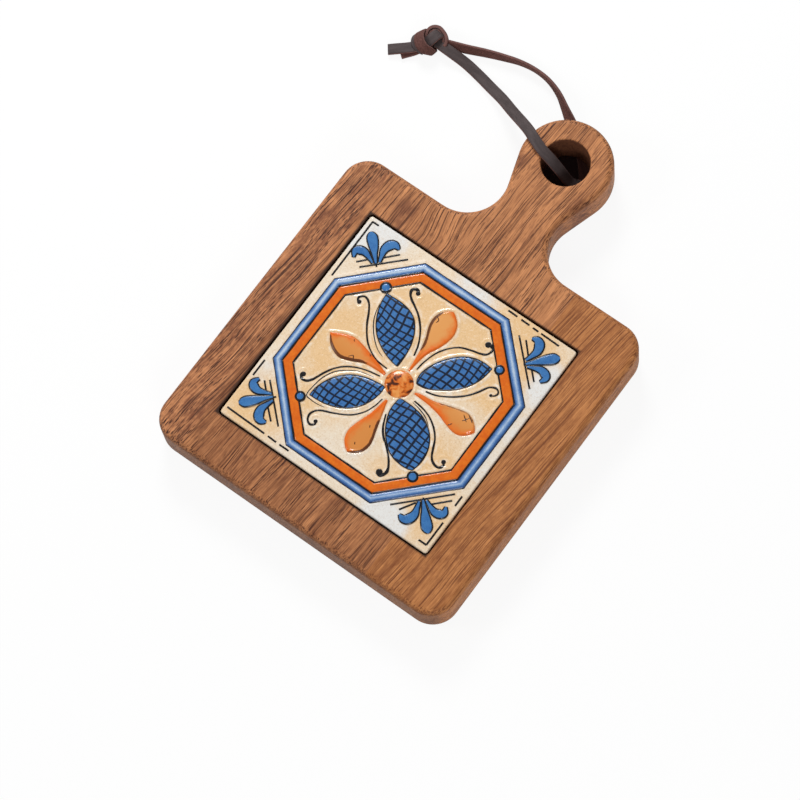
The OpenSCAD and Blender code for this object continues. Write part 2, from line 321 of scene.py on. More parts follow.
def headings(points):
    """Unit directions along rows of points, by central differences."""
    d = np.gradient(points, axis=0)
    return d / np.linalg.norm(d, axis=1, keepdims=True)


# Wood

# The grain's lean in degrees and its wander in millimetres; then where a swirl pushes it aside and how much
GRAIN_LEAN, GRAIN_WANDER = 4.6, 12.0
SWIRL_AT_MM, SWIRL_R_MM, SWIRL_PULL = (-25.0, 35.0), 21, 0.26
HOLE_AT_MM, HOLE_R_MM = (0.0, 88.1), 10.7
# Dark patches of the centre stave: x, y, radius and weight
WOOD_STAINS = [(-44, 31, 8, 0.7), (-43, 23, 6, 0.5), (-17, 78, 6, 0.7), (18, 74, 8, 0.7), (19, 62, 8, 0.8)]
# The grain's patterns: how many to a millimetre across it and along it
BANDS, GROWTH, FIBRES, FLECKS = (0.085, 0.006), (0.42, 0.014), (2.4, 0.09), (0.5, 0.2)
LONG_STROKES, FINE_STROKES, PORES = (1.2, 0.02), (1.9, 0.045), (1.5, 0.22)
CROWDS, PORE_CROWDS, PATCHES = (0.13, 0.018), (0.2, 0.05), (0.085, 0.045)
# Colours of the reddish patches, of the end walls' darker grain with painted shade, and of the painted shade
# in the hole and the groove
PATCH_RED, END_GRAIN_AND_SHADE = linear(112, 64, 44), linear(44, 24, 15)
HOLE_SHADE, GROOVE_SHADE = linear(84, 50, 40), linear(28, 15, 10)


def wood(name, light, dark, pore, ticks, mottle, blotch, lift, stains=()):
    """Long grain along Y that leans and wanders, with dark growth lines and pores.

    A slow noise pushes the grain sideways by up to half of GRAIN_WANDER, and beside the neck's base the
    grain leans over by a swirl. On it lie broad bands, growth lines and fine fibres, and then dark
    strokes, which are the middles of cells stretched along the grain: long ones, fine ones and short
    pores. ticks, mottle and blotch weigh the pores, the small cross-flecks and the reddish dark patches;
    lift is how much lighter the wood is made at the front and at the back of the board: a lighter tone,
    and a painted light that is brighter towards the back where the two differ; each of stains is the
    place, radius and weight of a dark patch. Painted shade darkens the wood round the tile's groove and
    down the wall of the hole, and the end walls are darker: darker end grain with painted shade on it.
    """
    paint = Paint(name)
    x, y, z = paint.axes(paint.place())
    drift = (paint.noise(paint.place((0.022, 0.012, 0.022)), 1) - 0.5) * GRAIN_WANDER
    sway = (paint.noise(paint.place((0.09, 0.03, 0.09)), 2) - 0.5) * (GRAIN_WANDER * 0.12)
    swirl = distance(x, y, SWIRL_AT_MM).step(SWIRL_R_MM, 2) * (y - SWIRL_AT_MM[1]) * SWIRL_PULL
    aside = paint.node("ShaderNodeCombineXYZ", {}, (drift + sway + swirl, 0.0, 0.0))
    grain = paint.node("ShaderNodeVectorMath", {"operation": "ADD"}, (paint.place(1.0, GRAIN_LEAN), aside))

    def along(pattern):
        across, length = pattern
        return paint.scaled(grain, (across, length, across))

    bands = paint.noise(along(BANDS), 3, 0.5)
    growth = paint.noise(along(GROWTH), 3, 0.6)
    fibres = paint.noise(along(FIBRES), 3, 0.6)
    flecks = paint.noise(along(FLECKS), 4, 0.62)
    crowd = paint.noise(along(CROWDS), 2)
    long_strokes = paint.cells(along(LONG_STROKES)).step(0.42, 0.22) * crowd.step(0.34, 0.54)
    fine_strokes = paint.cells(along(FINE_STROKES)).step(0.47, 0.27) * crowd.step(0.76, 0.42)
    pores = paint.cells(along(PORES)).step(0.42, 0.22) * paint.noise(along(PORE_CROWDS), 2).step(0.42, 0.6)
    strokes = long_strokes * 0.85 + fine_strokes * 0.8 + pores * ticks
    tone = bands * 0.4 + growth * 0.45 + fibres * 0.65 + flecks * mottle
    middle_tone = 0.5 * (0.4 + 0.45 + 0.65 + mottle)
    # Painted light: lighter at the back than at the front where the two lifts differ
    lift_and_painted_light = y.step(-70, 50) * (lift[1] - lift[0]) + lift[0]
    colour = paint.mix((tone - middle_tone) * 2.2 + 0.5 - lift_and_painted_light, light, dark)
    patchy = (paint.noise(along(PATCHES), 3, 0.6) + (flecks - 0.5) * 0.8).step(0.53, 0.72) * blotch
    for spot_x, spot_y, radius, weight in stains:
        near = distance(x, y, (spot_x, spot_y)).step(radius, radius * 0.2)
        patchy = patchy + near * (flecks + 0.15).step(0.35, 0.75) * weight
    colour = paint.mix(patchy, colour, PATCH_RED)
    colour = paint.mix(strokes, colour, pore)
    # Darker end grain on the walls at both ends, with painted shade on them
    end_wall = y.math("ABSOLUTE").step(BOARD_END - 8, BOARD_END - 2) * z.step(TOP - 0.2, TOP - 2.2)
    colour = paint.mix(end_wall * 0.48, colour, END_GRAIN_AND_SHADE)
    # Painted shade down the wall of the hole
    painted_hole_shade = distance(x, y, HOLE_AT_MM).step(HOLE_R_MM + 0.35, HOLE_R_MM)
    colour = paint.mix(painted_hole_shade * 0.8, colour, HOLE_SHADE)
    # Painted shade in the groove round the tile and on the wood just beside it
    from_tile = (x - TILE_AT[0] + 0.4).math("ABSOLUTE").math("MAXIMUM", (y - TILE_AT[1]).math("ABSOLUTE"))
    colour = paint.mix(from_tile.step(TILE_HALF + 1.9, TILE_HALF + 0.7) * 0.92, colour, GROOVE_SHADE)
    return paint.set(
        Base_Color=colour, Roughness=0.52 + 0.12 * growth, Specular_IOR_Level=0.22,
        Normal=paint.bump(1.0 - strokes * 0.6 - fibres * 0.3, 0.08, 0.35),
    )


# Glaze

IVORY, TAN, PALE = linear(238, 223, 201), linear(236, 197, 146), linear(232, 231, 228)
INK, WORN_INK, HATCH_INK = linear(14, 12, 16), linear(70, 52, 46), linear(6, 15, 36)


def glazed(paint, colour, coat=0.5):
    """The glossy coat that all of the tile's colours share."""
    return paint.set(
        Base_Color=colour, Roughness=0.3, Specular_IOR_Level=0.25, Coat_Weight=coat, Coat_Roughness=0.07,
        Normal=paint.bump(paint.noise(paint.place(0.7), 3), 0.06, 0.5),
    )


def ground_glaze():
    """Ivory with a tan wash and pale cloudy places, from the tile mesh's fields.

    Painted highlights lie pale along the ridges round the motifs, painted shade browns the creases, and grit
    and specks lie over all of it.
    """
    paint = Paint("ground_glaze")
    cloud = paint.noise(paint.place(0.14), 4, 0.6)
    grit = paint.noise(paint.place(1.5), 4, 0.75)
    wash = (paint.attribute("wash") + (cloud - 0.5) * 0.7 + (grit - 0.5) * 0.6).step(0.0, 0.95)
    pale = (paint.attribute("pale") + (cloud - 0.5) * 0.8).step(0.25, 0.8)
    # Painted highlight: near white along the ridges round the motifs
    thin = paint.attribute("glow") * paint.noise(paint.place(0.32), 3, 0.6).step(0.36, 0.66)
    # Painted shade: brown in the creases at the foot of the petals and the drops
    shade = paint.attribute("shade") * (0.6 + 0.5 * grit)
    colour = paint.mix(pale, paint.mix(wash, IVORY, TAN), PALE)
    colour = paint.mix(thin * 0.7, colour, linear(252, 248, 240))
    colour = paint.mix(shade, colour, linear(186, 144, 98))
    colour = paint.mix(grit.step(0.5, 0.7) * 0.45, colour, linear(196, 158, 116))
    colour = paint.mix(grit.step(0.46, 0.3) * 0.5, colour, linear(252, 247, 238))
    speck = paint.cells(paint.place(0.42)).step(0.05, 0.025) * 0.4
    return glazed(paint, paint.mix(speck, colour, linear(150, 110, 70)))


def ink_glaze():
    """The printed lines' near black, worn brown in places."""
    paint = Paint("ink_glaze")
    wear = paint.noise(paint.place(1.3), 3, 0.6).step(0.55, 0.75)
    return glazed(paint, paint.mix(wear * 0.25, INK, WORN_INK))


def screened(paint, grit_weight, cloud_weight, ends, dark, light):
    """A darker and a lighter tone mixed by fine grit and slow clouds."""
    grit = paint.noise(paint.place(2.6), 3, 0.7)
    cloud = paint.noise(paint.place(0.3), 3, 0.6)
    return paint.mix((grit * grit_weight + cloud * cloud_weight).step(*ends), dark, light)


def blue_glaze():
    """The blue of the fleurs and the dots."""
    paint = Paint("blue_glaze")
    blue = screened(paint, 0.7, 0.6, (0.25, 0.9), linear(28, 82, 150), linear(70, 128, 186))
    return glazed(paint, blue, coat=0.2)


def hatched_glaze():
    """The petals' blue under two sets of navy lines, nearly square to the tile, that wander a little."""
    paint = Paint("hatched_glaze")
    base = screened(paint, 0.8, 0.5, (0.35, 0.95), linear(28, 84, 152), linear(78, 134, 192))
    bend = paint.noise(paint.place(0.05), 0) - 0.5
    sway = paint.noise(paint.place(0.05, 0, (30, 10, 0)), 0) - 0.5
    pressure = 0.07 * (paint.noise(paint.place(0.35), 1) - 0.5)
    x, y, _ = paint.axes(paint.place())
    marks = []
    for along, off, gap in ((x, bend * 7.0, 3.2), (y, sway * 7.0, 3.0)):
        to_line = ((along + off) * (1 / gap)).math("FRACT") - 0.5
        marks.append(to_line.math("ABSOLUTE") + pressure)
    line = marks[0].math("MINIMUM", marks[1]).step(0.165, 0.1)
    return glazed(paint, paint.mix(line * 0.97, base, HATCH_INK))


def ridge_glaze():
    """The frame's blue ridge: pale along the middle of its width as a painted highlight, blue at both edges.

    A painted shade makes it deeper in colour towards the front and the right.
    """
    paint = Paint("ridge_glaze")
    across = paint.attribute("across").math("ABSOLUTE")
    x, y, _ = paint.axes(paint.place())
    # Painted shade: deeper blue towards the front and the right
    ridge_painted_shade = (x - y + TILE_AT[1]).step(-30, 80) * 0.16
    grit = paint.noise(paint.place(2.2), 3, 0.7) - 0.5
    soft = across + grit * 0.6 + (paint.noise(paint.place(0.2), 2) - 0.5) * 0.4 + ridge_painted_shade
    # The ramp's pale middle is a painted highlight along the ridge's crest
    return glazed(paint, paint.ramp(
        soft, (0.06, linear(184, 202, 222)), (0.34, linear(128, 160, 202)), (0.66, linear(68, 112, 172)),
        (0.95, linear(42, 78, 134)),
    ))


def band_glaze():
    """Strong orange with slow clouds."""
    paint = Paint("band_glaze")
    cloud = paint.noise(paint.place(0.5), 4, 0.65)
    return glazed(paint, paint.mix(cloud.step(0.3, 0.75), linear(216, 97, 7), linear(230, 118, 18)))


def drop_glaze():
    """Tan in the middle, orange towards the edge and the neck, brown along the shaded side.

    The back drop is the palest.
    """
    paint = Paint("drop_glaze")
    _, y, _ = paint.axes(paint.place())
    middle = paint.mix(y.step(-38, -22), linear(216, 138, 66), linear(228, 158, 88))
    cloud = paint.noise(paint.place(0.45), 4, 0.6)
    grit = paint.noise(paint.place(2.2), 3, 0.7)
    edge = (paint.attribute("edge") + (cloud - 0.5) * 0.7 + (grit - 0.5) * 0.25).step(0.1, 0.95)
    shade = (paint.attribute("shade") + (cloud - 0.5) * 0.35 + (grit - 0.5) * 0.35).step(0.35, 0.6)
    colour = paint.mix(edge, middle, linear(230, 106, 18))
    return glazed(paint, paint.mix(shade * 0.95, colour, linear(92, 44, 16)))


def crack_glaze():
    """Dark brown, lighter in its grit."""
    paint = Paint("crack_glaze")
    grit = paint.noise(paint.place(2.0), 3, 0.6)
    return glazed(paint, paint.mix(grit, linear(42, 20, 10), linear(88, 44, 20)))


def hub_glaze():
    """Orange with brown swirled marks, more of them to the right."""
    paint = Paint("hub_glaze")
    x, y, _ = paint.axes(paint.place())
    patch = paint.noise(paint.place(0.3), 2, 0.5, 0.6) - (x + y * 0.3).step(-8, 3) * 0.05
    return glazed(paint, paint.ramp(
        patch, (0.34, linear(70, 30, 10)), (0.39, linear(148, 66, 16)), (0.45, linear(218, 110, 30)),
        (0.6, linear(236, 158, 82)),
    ))


# The tile's ornament, in millimetres from the tile's centre

# Rises over the glazed field: of the whole relief, of each kind of piece, and at the pieces' edges
RELIEF, HUB_RISE, DOT_RISE, DOT_OUTLINE_RISE = 0.6, 1.2, 0.7, 0.42
FLEUR_RISE, FLEUR_OUTLINE_RISE = 0.4, 0.28
LINE_RISE, PETAL_LINE_RISE, HAIRLINE_RISE, CRACK_RISE = 0.15, 0.22, 0.12, 0.05
PETAL_SIDE, DROP_SIDE, RING_SIDE, BOSS_SIDE = 0.1, 0.08, 0.04, 0.05
# The depth to which pieces go into the field, how far strokes run on, and their share of doming
SKIRT, STROKE_OVER, STROKE_CROWN = 0.3, 0.03, 0.3
# The widths from which a drop has its full rise, and below which it turns orange; how wide its brown
# shade is, and the distances from the hub's middle between which that lies
DROP_FULL, DROP_NARROW, SHADE_WIDE, SHADE_RUN = 5, 9, 2.0, (15, 38)
# The octagon: its middle, how much further out its slanted sides lie, the out values of its two bands, and
# how far its right side is pulled out at the ridge's outer and inner edge
RING_AT, RING_SKEW = np.array([-0.2, -0.2]), 0.9
RIDGE_OUT, RIDGE_IN = 49.5, 45.9
BAND_OUT, BAND_IN = 45.6, 41.5
EAST = (0.85, 0.3)
# Dark lines along the octagon: out value, width, pull to the right and rise
RING_LINES = [
    (RIDGE_OUT + 0.05, 0.4, EAST[0], 0.12), (RIDGE_IN - 0.12, 0.65, EAST[1], 0.34),
    (BAND_IN - 0.1, 0.65, 0, 0.34),
]
HUB_AT, HUB_R = np.array([0.9, -0.6]), 6.2
# Dots: x, y and radius
DOTS = [(-29.3, 30.9, 2.1), (31.9, 28.7, 1.75), (29.8, -30.3, 2.0), (-30.0, -29.1, 1.8)]
# Petals: start, tip, and the outline as the way from the start and the reach to the left and to the right
PETALS = {
    "back_left": ((-4.4, 5.4), (-27.3, 28.9), [
        (0, 0, 0), (1, 1, 1.1), (4, 3.05, 3.8), (8, 5, 6.7), (12, 6.2, 8.6), (16, 6.7, 9.6), (20, 6.4, 9.75),
        (24, 5.35, 8.3), (27.5, 3.9, 5.8), (30.5, 2, 2.7), (32.8, 0, 0),
    ]),
    "back_right": ((6.9, 3.7), (28.9, 27.3), [
        (0, 0, 0), (1, 2.3, 1), (3, 4.3, 2.5), (6, 6, 3.9), (10, 7.4, 5), (14, 8.05, 5.8), (18, 8.2, 6),
        (22, 7.6, 5.4), (26, 6, 4.1), (29.5, 3.3, 2.1), (32.2, 0, 0),
    ]),
    "front_left": ((-3.3, -5.4), (-27.1, -26.1), [
        (0, 0, 0), (1, 1.4, 1.1), (3, 3.3, 2.5), (6, 5.3, 4.4), (10, 7, 6.2), (14, 7.6, 7.1), (18, 7.35, 7.1),
        (22, 6.2, 6.3), (26, 4.25, 4.6), (29.2, 2, 2.5), (31.54, 0, 0),
    ]),
    "front_right": ((5, -6), (27.9, -27.9), [
        (0, 0, 0), (0.6, 1.2, 1), (2.4, 3.1, 3.2), (5, 5.4, 5.3), (9, 8, 7.1), (13, 9.3, 8.2),
        (17.5, 9.75, 8.5), (22, 8.9, 8.1), (26, 6.9, 6.3), (29.2, 4, 3.75), (31, 1.3, 1.6), (31.7, 0, 0),
    ]),
}
PETAL_LINE = 0.45
# Drops: direction in degrees, how strong the brown shade of the left side is, then the outline as the
# distance from the hub's middle and the reach to the left and to the right
DROPS = {
    "back": (90, 1.0, [
        (7, 0.45, 0.45), (11.5, 0.9, 0.8), (17.2, 1.7, 1.9), (22.8, 3, 4.5), (27.3, 4.8, 5.9),
        (31.2, 5.6, 6.2), (35.2, 4.8, 4.8), (38, 2.3, 1.9), (39.1, 0, 0),
    ]),
    "left": (180, 1.2, [
        (7.3, 0.6, 0.6), (11.8, 0.6, 2.2), (17.5, 1.2, 3.9), (23.1, 3.7, 5.3), (27.6, 5.1, 5.9),
        (31.5, 4.2, 5), (34.9, 2, 3.4), (37.7, -1.7, 1.7),
    ]),
    "front": (270, 0.9, [
        (8.75, 0.5, 0.5), (11, 1.1, 1), (16.6, 2.8, 2), (22.3, 4.5, 3.9), (26.2, 5.75, 5.1), (29.6, 6.1, 5.4),
        (33, 5.1, 4.3), (35.6, 2.3, 1.9), (36.7, 0, 0),
    ]),
    "right": (0, 0.5, [
        (7.9, 0.9, 0), (10.7, 1.7, 0.1), (16.3, 2.3, 0.5), (22, 4, 1.6), (26.5, 5.3, 3.1), (31, 6.2, 4.2),
        (34.4, 5.3, 3.7), (37.2, 3.1, 1.4), (38.7, 0.8, -0.8),
    ]),
}
# Cracks in the drops' glaze, each a row of points
CRACKS = [
    [(-3.6, 32.9), (-2.1, 31.8), (-2.4, 30.3)], [(-23.9, -3.1), (-22.4, -1.7), (-21.1, -3.5), (-19.4, -2.6)],
    [(-26.4, 4.4), (-25.8, 3.6)], [(-17, 2.9), (-16.2, 2.2)], [(31.3, 4), (34.1, 1.9)],
    [(34.1, 4), (32.4, 1.4)], [(33.6, 4.7), (35.8, 3.6)], [(29.6, -2), (28.5, -3.6)],
    [(33, 5.2), (36.4, 3)], [(1, -32), (1.6, -33)], [(1.8, -22.4), (2.4, -23.4)],
]
CRACK_WIDTH = 0.45
# Scrolls: points from beside the hub to the curl's end
SCROLLS = [
    [(-1.4, 13.1), (-2.8, 18.1), (-6, 23.9), (-10.3, 28.5), (-14.6, 31.4), (-17.1, 32.8), (-19, 34.6),
     (-19.6, 36.4), (-18.5, 37.6), (-17.1, 37.6), (-16.5, 36.7)],
    [(-7.4, 1.9), (-13.1, 2.4), (-17.4, 4.2), (-21, 6.7), (-23.9, 9.9), (-26.4, 13.5), (-28.5, 17.4),
     (-30.6, 20.6), (-32.8, 22.3), (-34.6, 22.4), (-36.1, 21), (-35.9, 19.6), (-34.9, 19.2)],
    [(3.2, 8.9), (3.7, 13.1), (5.4, 18.9), (8.2, 23.5), (12.1, 27.1), (16.8, 28.9), (20.7, 29.9),
     (23.2, 31.1), (24.3, 33.1), (24.1, 34.9), (22.9, 35.9)],
    [(12.1, 3.1), (16.4, 4.2), (20.7, 6.4), (24.6, 9.2), (27.9, 12.4), (30.4, 16), (32.5, 19.6), (34.6, 21.1),
     (36.4, 21.1), (37.5, 19.9), (37.1, 18.5), (35.7, 17.5)],
    [(-7.8, -2.5), (-13.1, -3.4), (-18.1, -5), (-22.4, -7.5), (-25.6, -10.7), (-27.8, -14.3), (-29.2, -17.5),
     (-30.3, -20), (-32.1, -22), (-34.2, -22.3), (-35.6, -20.9), (-35.3, -19.6)],
    [(-0.9, -10), (-1.7, -14.3), (-3.5, -18.6), (-6.7, -22.5), (-10.3, -25), (-14.6, -27.1), (-18.9, -28.9),
     (-21.1, -30.7), (-22.1, -33.2), (-21.1, -35.7), (-19.2, -36.6), (-17.6, -35.4), (-17.9, -34.1)],
    [(10.7, -3), (15.4, -3.6), (20, -5.1), (24.3, -7.9), (27.5, -11.4), (29.3, -15), (30.7, -17.9),
     (32.5, -20), (35, -20.9), (36.8, -20.4), (37.3, -18.9), (36.6, -17.6)],
    [(4.3, -14.6), (6.1, -18.6), (8.9, -22.5), (12.5, -25.7), (16.1, -28.9), (18.6, -32.1), (19.6, -34.6),
     (19.1, -36.6), (17.9, -37.7), (16.4, -37.4)],
]
# Width of each scroll at its start, at its middle and at its curl
SCROLL_WIDTHS = [
    (0.7, 1.0, 1.45), (0.6, 0.9, 0.95), (0.55, 0.75, 1.0), (0.6, 0.9, 0.8), (0.55, 0.85, 1.2),
    (0.5, 0.8, 1.0), (0.65, 0.9, 1.15), (0.6, 0.85, 1.6),
]
# The blobs in which the scrolls end: x, y and radius
BLOBS = [
    (-16.5, 36.6, 1.0), (-34.9, 19.3, 1.0), (21.4, 35.1, 1.35), (23.3, 35.5, 1.1), (35.5, 17.5, 0.7),
    (-34.9, -20.3, 1.1), (-18.1, -34.2, 0.9), (36.5, -17.6, 1.0), (17.1, -36.6, 1.45),
]
# Thin lines beside the petals
HAIRLINES = [
    [(-27.1, 23.5), (-26, 18.9), (-23.9, 14.6), (-20.3, 10.3), (-16, 6.7), (-12.1, 5.1)],
    [(-9.6, -4.3), (-16, -5.7), (-21, -8.6), (-24.6, -11.8), (-27.1, -16.4), (-28.1, -21.4), (-28.3, -26.8),
     (-25.3, -27.7), (-21.7, -27.6), (-18.9, -27.1)],
    [(10.4, -3.9), (14.3, -4.6), (18.6, -6.1), (22.1, -8.6)],
    [(4.6, -16), (7.1, -21), (10.5, -24.8)],
]
HAIRLINE_WIDTH = 0.5
# Straight border lines: their two ends
BORDER_LINES = [
    ((-51.6, 22.2), (-51.8, 51.8)), ((-51.9, 51.8), (-48.6, 51.8)),
    ((19.3, 52.5), (24.0, 52.4)), ((26.2, 52.3), (30.4, 52.2)), ((32.4, 52.1), (35.2, 52.0)),
    ((36.8, 52.0), (46.0, 51.8)),
    ((-52.4, -50.6), (-32.6, -51.0)), ((-30.6, -51.0), (-26.2, -51.2)), ((-24.4, -51.2), (-19.6, -51.2)),
    ((-52.1, -24.8), (-52.1, -33.0)),
    ((51.9, -39.0), (51.9, -50.8)), ((51.9, -50.8), (48.0, -50.8)), ((51.7, -25.2), (51.7, -30.2)),
]
# Lines in the corners: along the octagon's slanted sides, and the fleurs' stems
CORNER_LINES = [
    ((-29.2, 46.6), (-44.2, 31.9)), ((-33.3, 46.4), (-38.1, 41.4)), ((-43.1, 36.9), (-46.7, 33.1)),
    ((29.6, 46), (47.1, 29.2)), ((33.2, 46), (37.9, 41)), ((42.9, 36.6), (46.8, 32.8)),
    ((-44.9, -30.7), (-29.6, -45.1)), ((-46.7, -32.1), (-42.6, -36.2)), ((-38.5, -40.6), (-33.5, -45.1)),
    ((48.7, -26.1), (29.3, -45.4)), ((49.4, -29.1), (42.9, -35.7)), ((37.5, -38.6), (33.6, -45)),
    ((-40.6, 38.6), (-38.2, 36.2)), ((40.6, 38.6), (38.6, 36.6)), ((-40.4, -37), (-38.2, -35.2)),
    ((40.6, -37), (38.8, -35)),
]
BORDER_WIDTH = 0.8
# One corner's fleur: spines of its three leaves with half widths, mirrored into the other corners,
# the front ones a little further back
FRONT_FLEURS_UP = 1.35
FLEUR = [
    [(-39.4, 37.3, 0.35), (-42.2, 40.2, 0.9), (-44.8, 43.0, 1.75), (-47.3, 45.5, 2.1), (-48.7, 46.8, 1.55),
     (-49.6, 47.7, 0.3)],
    [(-38.4, 38.6, 0.35), (-39.4, 41.6, 0.8), (-40.1, 44.6, 1.5), (-39.2, 47.4, 1.85), (-37.2, 48.6, 1.4),
     (-34.9, 48.0, 0.25)],
    [(-40.6, 36.6, 0.3), (-43.4, 37.8, 0.7), (-46.4, 38.7, 1.35), (-48.8, 38.1, 1.65), (-49.9, 36.6, 1.25),
     (-48.9, 34.1, 0.25)],
]
# How far the dark outlines of fleurs and dots show
OUTLINE = 0.6


# Shapes of the ornament

def octagon(out, east):
    """Corners of an octagon, out from the middle at its straight sides and RING_SKEW more at the others.

    Its right half is pulled to the right by up to east.
    """
    corner = math.sqrt(2) * (out + RING_SKEW) - out
    sides = []
    for quarter in range(4):
        turn = quarter * math.pi / 2
        c, s = math.cos(turn), math.sin(turn)
        sides += [(out * c - end * s, out * s + end * c) for end in (-corner, corner)]
    sides = np.array(sides)
    sides[:, 0] += east * np.clip(sides[:, 0] / out, 0, 1)
    return sides + RING_AT


def straight(a, b, steps):
    """A row of points from a to b."""
    t = np.linspace(0, 1, steps)[:, None]
    return np.array(a) * (1 - t) + np.array(b) * t


def octagon_sides(out, east, steps):
    """The octagon's eight sides, each a row of points."""
    corners = octagon(out, east)
    return [straight(corners[i], corners[(i + 1) % 8], steps) for i in range(8)]


def leaf(start, along, outline):
    """A leaf's spine from start, the direction to its left, and its reach to the left and to the right."""
    s, left, right = smooth_curve(outline, 8).T
    along = np.array(along) / np.linalg.norm(along)
    return np.array(start) + s[:, None] * along, np.array([-along[1], along[0]]), left, right


def leaf_rows(shape, columns):
    """Rows of points across a leaf, how far left of the spine each lies, and v, -1 to 1 from the right."""
    spine, across, left, right = shape
    v = np.linspace(-1, 1, columns)[None, :]
    off = (left - right)[:, None] / 2 + (left + right)[:, None] / 2 * v
    return spine[:, None, :] + across * off[..., None], off, v


def in_leaf(points, spine, across, left, right):
    """Where points lie across a leaf, -1 to 1 from its right edge to its left, how wide it is there, and
    whether they lie in it."""
    along = np.array([across[1], -across[0]])
    s, off, run = (points - spine[0]) @ along, (points - spine[0]) @ across, (spine - spine[0]) @ along
    to_left, to_right = np.interp(s, run, left), np.interp(s, run, right)
    wide = np.maximum(to_left + to_right, 0.1)
    v = (2 * off - (to_left - to_right)) / wide
    return v, wide, (np.abs(v) < 1) & (s > 0) & (s < run[-1])


def dome(v, side, share):
    """A leaf's rise over the field: from side at its edges up to RELIEF, by 1 - v^4 across it times share."""
    return side + (RELIEF - side) * (1 - v**4) * share


def drop_rise(v, wide):
    """A drop's rise: its share is its width over DROP_FULL, and 1 where it is wider than that."""
    return dome(v, DROP_SIDE, np.minimum(wide / DROP_FULL, 1))


# How many points are measured at a time, to spare memory
BLOCK = 4000


def reach(points, curve):
    """Distance from each point to the nearest point of a finely stepped curve, a block at a time."""
    best = np.empty(len(points))
    for start in range(0, len(points), BLOCK):
        part = points[start:start + BLOCK, None, :] - curve[None, :, :]
        best[start:start + BLOCK] = np.sqrt((part**2).sum(-1)).min(1)
    return best


def ring_reach(points):
    """The octagon's out value at each point: its distance from the middle, less the skew on slanted sides."""
    p = np.abs(points - RING_AT)
    return np.maximum(p.max(1), p.sum(1) / math.sqrt(2) - RING_SKEW)


def waves(points, length, seed, count=7):
    """A smooth random surface between about -1 and 1: a sum of sine waves of about the given length."""
    draw = np.random.default_rng(seed)
    turn = draw.uniform(0, 2 * math.pi, count)
    scale = 2 * math.pi / (length * draw.uniform(0.7, 1.5, count))
    phase = draw.uniform(0, 2 * math.pi, count)
    inner = points @ np.stack([np.cos(turn), np.sin(turn)]) * scale + phase
    return np.sin(inner).sum(1) / math.sqrt(count)


def bell(off, height, middle, width):
    """The bell curve height * exp(-((off - middle) / width)^2)."""
    return height * np.exp(-(((off - middle) / width) ** 2))


def patches(points, spots):
    """A sum of round bell curves: x, y, radius and weight of each."""
    total = np.zeros(len(points))
    for x, y, radius, weight in spots:
        total += weight * np.exp(-(((points - (x, y)) ** 2).sum(1)) / radius**2)
    return total


def rims(leaves):
    """The left and the right edge of each leaf, as rows of points."""
    return [spine + across * side[:, None] * sign for spine, across, left, right in leaves.values()
            for side, sign in ((left, 1), (right, -1))]


petals = {
    key: leaf(start, np.subtract(tip, start), outline) for key, (start, tip, outline) in PETALS.items()
}
drops = {
    key: leaf(HUB_AT, (math.cos(math.radians(turn)), math.sin(math.radians(turn))), outline)
    for key, (turn, _, outline) in DROPS.items()
}
petal_rims = rims(petals)
scroll_curves = [smooth_curve(points, 10) for points in SCROLLS]
petal_edges, drop_edges = np.vstack(petal_rims), np.vstack(rims(drops))


def surroundings(points):
    """Distances to the petals' and the drops' edges, the octagon's out value, and whether a petal is near.

    The last is 1 outside the petals and falls to 0 within an eighth of the way from edge to spine.
    """
    ridge_painted_shade = np.zeros(len(points))
    for petal in petals.values():
        v, _, inside = in_leaf(points, *petal)
        ridge_painted_shade = np.maximum(ridge_painted_shade, np.where(inside, 1 - np.abs(v), 0))
    outside = 1 - np.clip(ridge_painted_shade * 8, 0, 1)
    return reach(points, petal_edges), reach(points, drop_edges), ring_reach(points), outside


# Soft ridges in the field: height, distance from the edge and width
PETAL_RIDGE, DROP_RIDGE, CURL_RIDGE = (0.3, 0.95, 0.45), (0.24, 0.75, 0.42), (0.18, 2.4, 0.5)
HUB_RIDGE, INNER_RIDGE, OUTER_RIDGE = (0.3, 0.9, 0.6), (0.15, -1.3, 0.6), (0.12, 1.1, 0.7)
WAVES_HEIGHT, WAVES_LENGTH, WAVES_SEED = 0.035, 16, 3
# Painted highlights along the ridges: weight, distance from the edge and width; then the painted shade in the
# crease
PETAL_HIGHLIGHT, DROP_HIGHLIGHT, SCROLL_HIGHLIGHT = (1.0, 1.1, 0.6), (0.8, 0.9, 0.5), (0.7, 1.2, 0.5)
INNER_HIGHLIGHT, OUTER_HIGHLIGHT = (0.7, -1.3, 0.5), (0.4, 1.0, 0.7)
CREASE_SHADE = (0.45, 0, 0.5)


def ground_height(points):
    """Height of the glazed field over the tile's top, in millimetres.

    It is the sum of a slow waviness and of soft ridges, each a bell curve of the distance from an edge:
    round the petals, the drops, the scrolls' ends and the hub, inside the band and outside the ridge.
    """
    from_petals, from_drops, ring, outside = surroundings(points)
    from_curls = reach(points, np.array([(x, y) for x, y, _ in BLOBS]))
    from_hub = np.linalg.norm(points - HUB_AT, axis=1) - HUB_R
    return (
        WAVES_HEIGHT * waves(points, WAVES_LENGTH, WAVES_SEED) + bell(from_petals, *PETAL_RIDGE) * outside
        + bell(from_drops, *DROP_RIDGE) * outside + bell(from_curls, *CURL_RIDGE) * outside
        + bell(from_hub, *HUB_RIDGE) + bell(ring - BAND_IN, *INNER_RIDGE)
        + bell(ring - RIDGE_OUT, *OUTER_RIDGE)
    )


def on_tile(points, rise):
    """The ornament's points in the board's frame, each at its rise over the glazed field."""
    return np.column_stack([points + TILE_AT, TOP + ground_height(points) + rise])


# The tile's rolled edge: rows of points near it, its radius, the corners' radius in plan, where the
# evenly spaced rows of the field begin, and how far in the relief has faded in
EDGE_ROWS = np.array([0, 0.06, 0.16, 0.32, 0.52, 0.8])
EDGE_R, CORNER_R, FIELD_IN, FADE_IN = 0.7, 1.2, 1.1, 1.5
FIELD_STEPS = 292
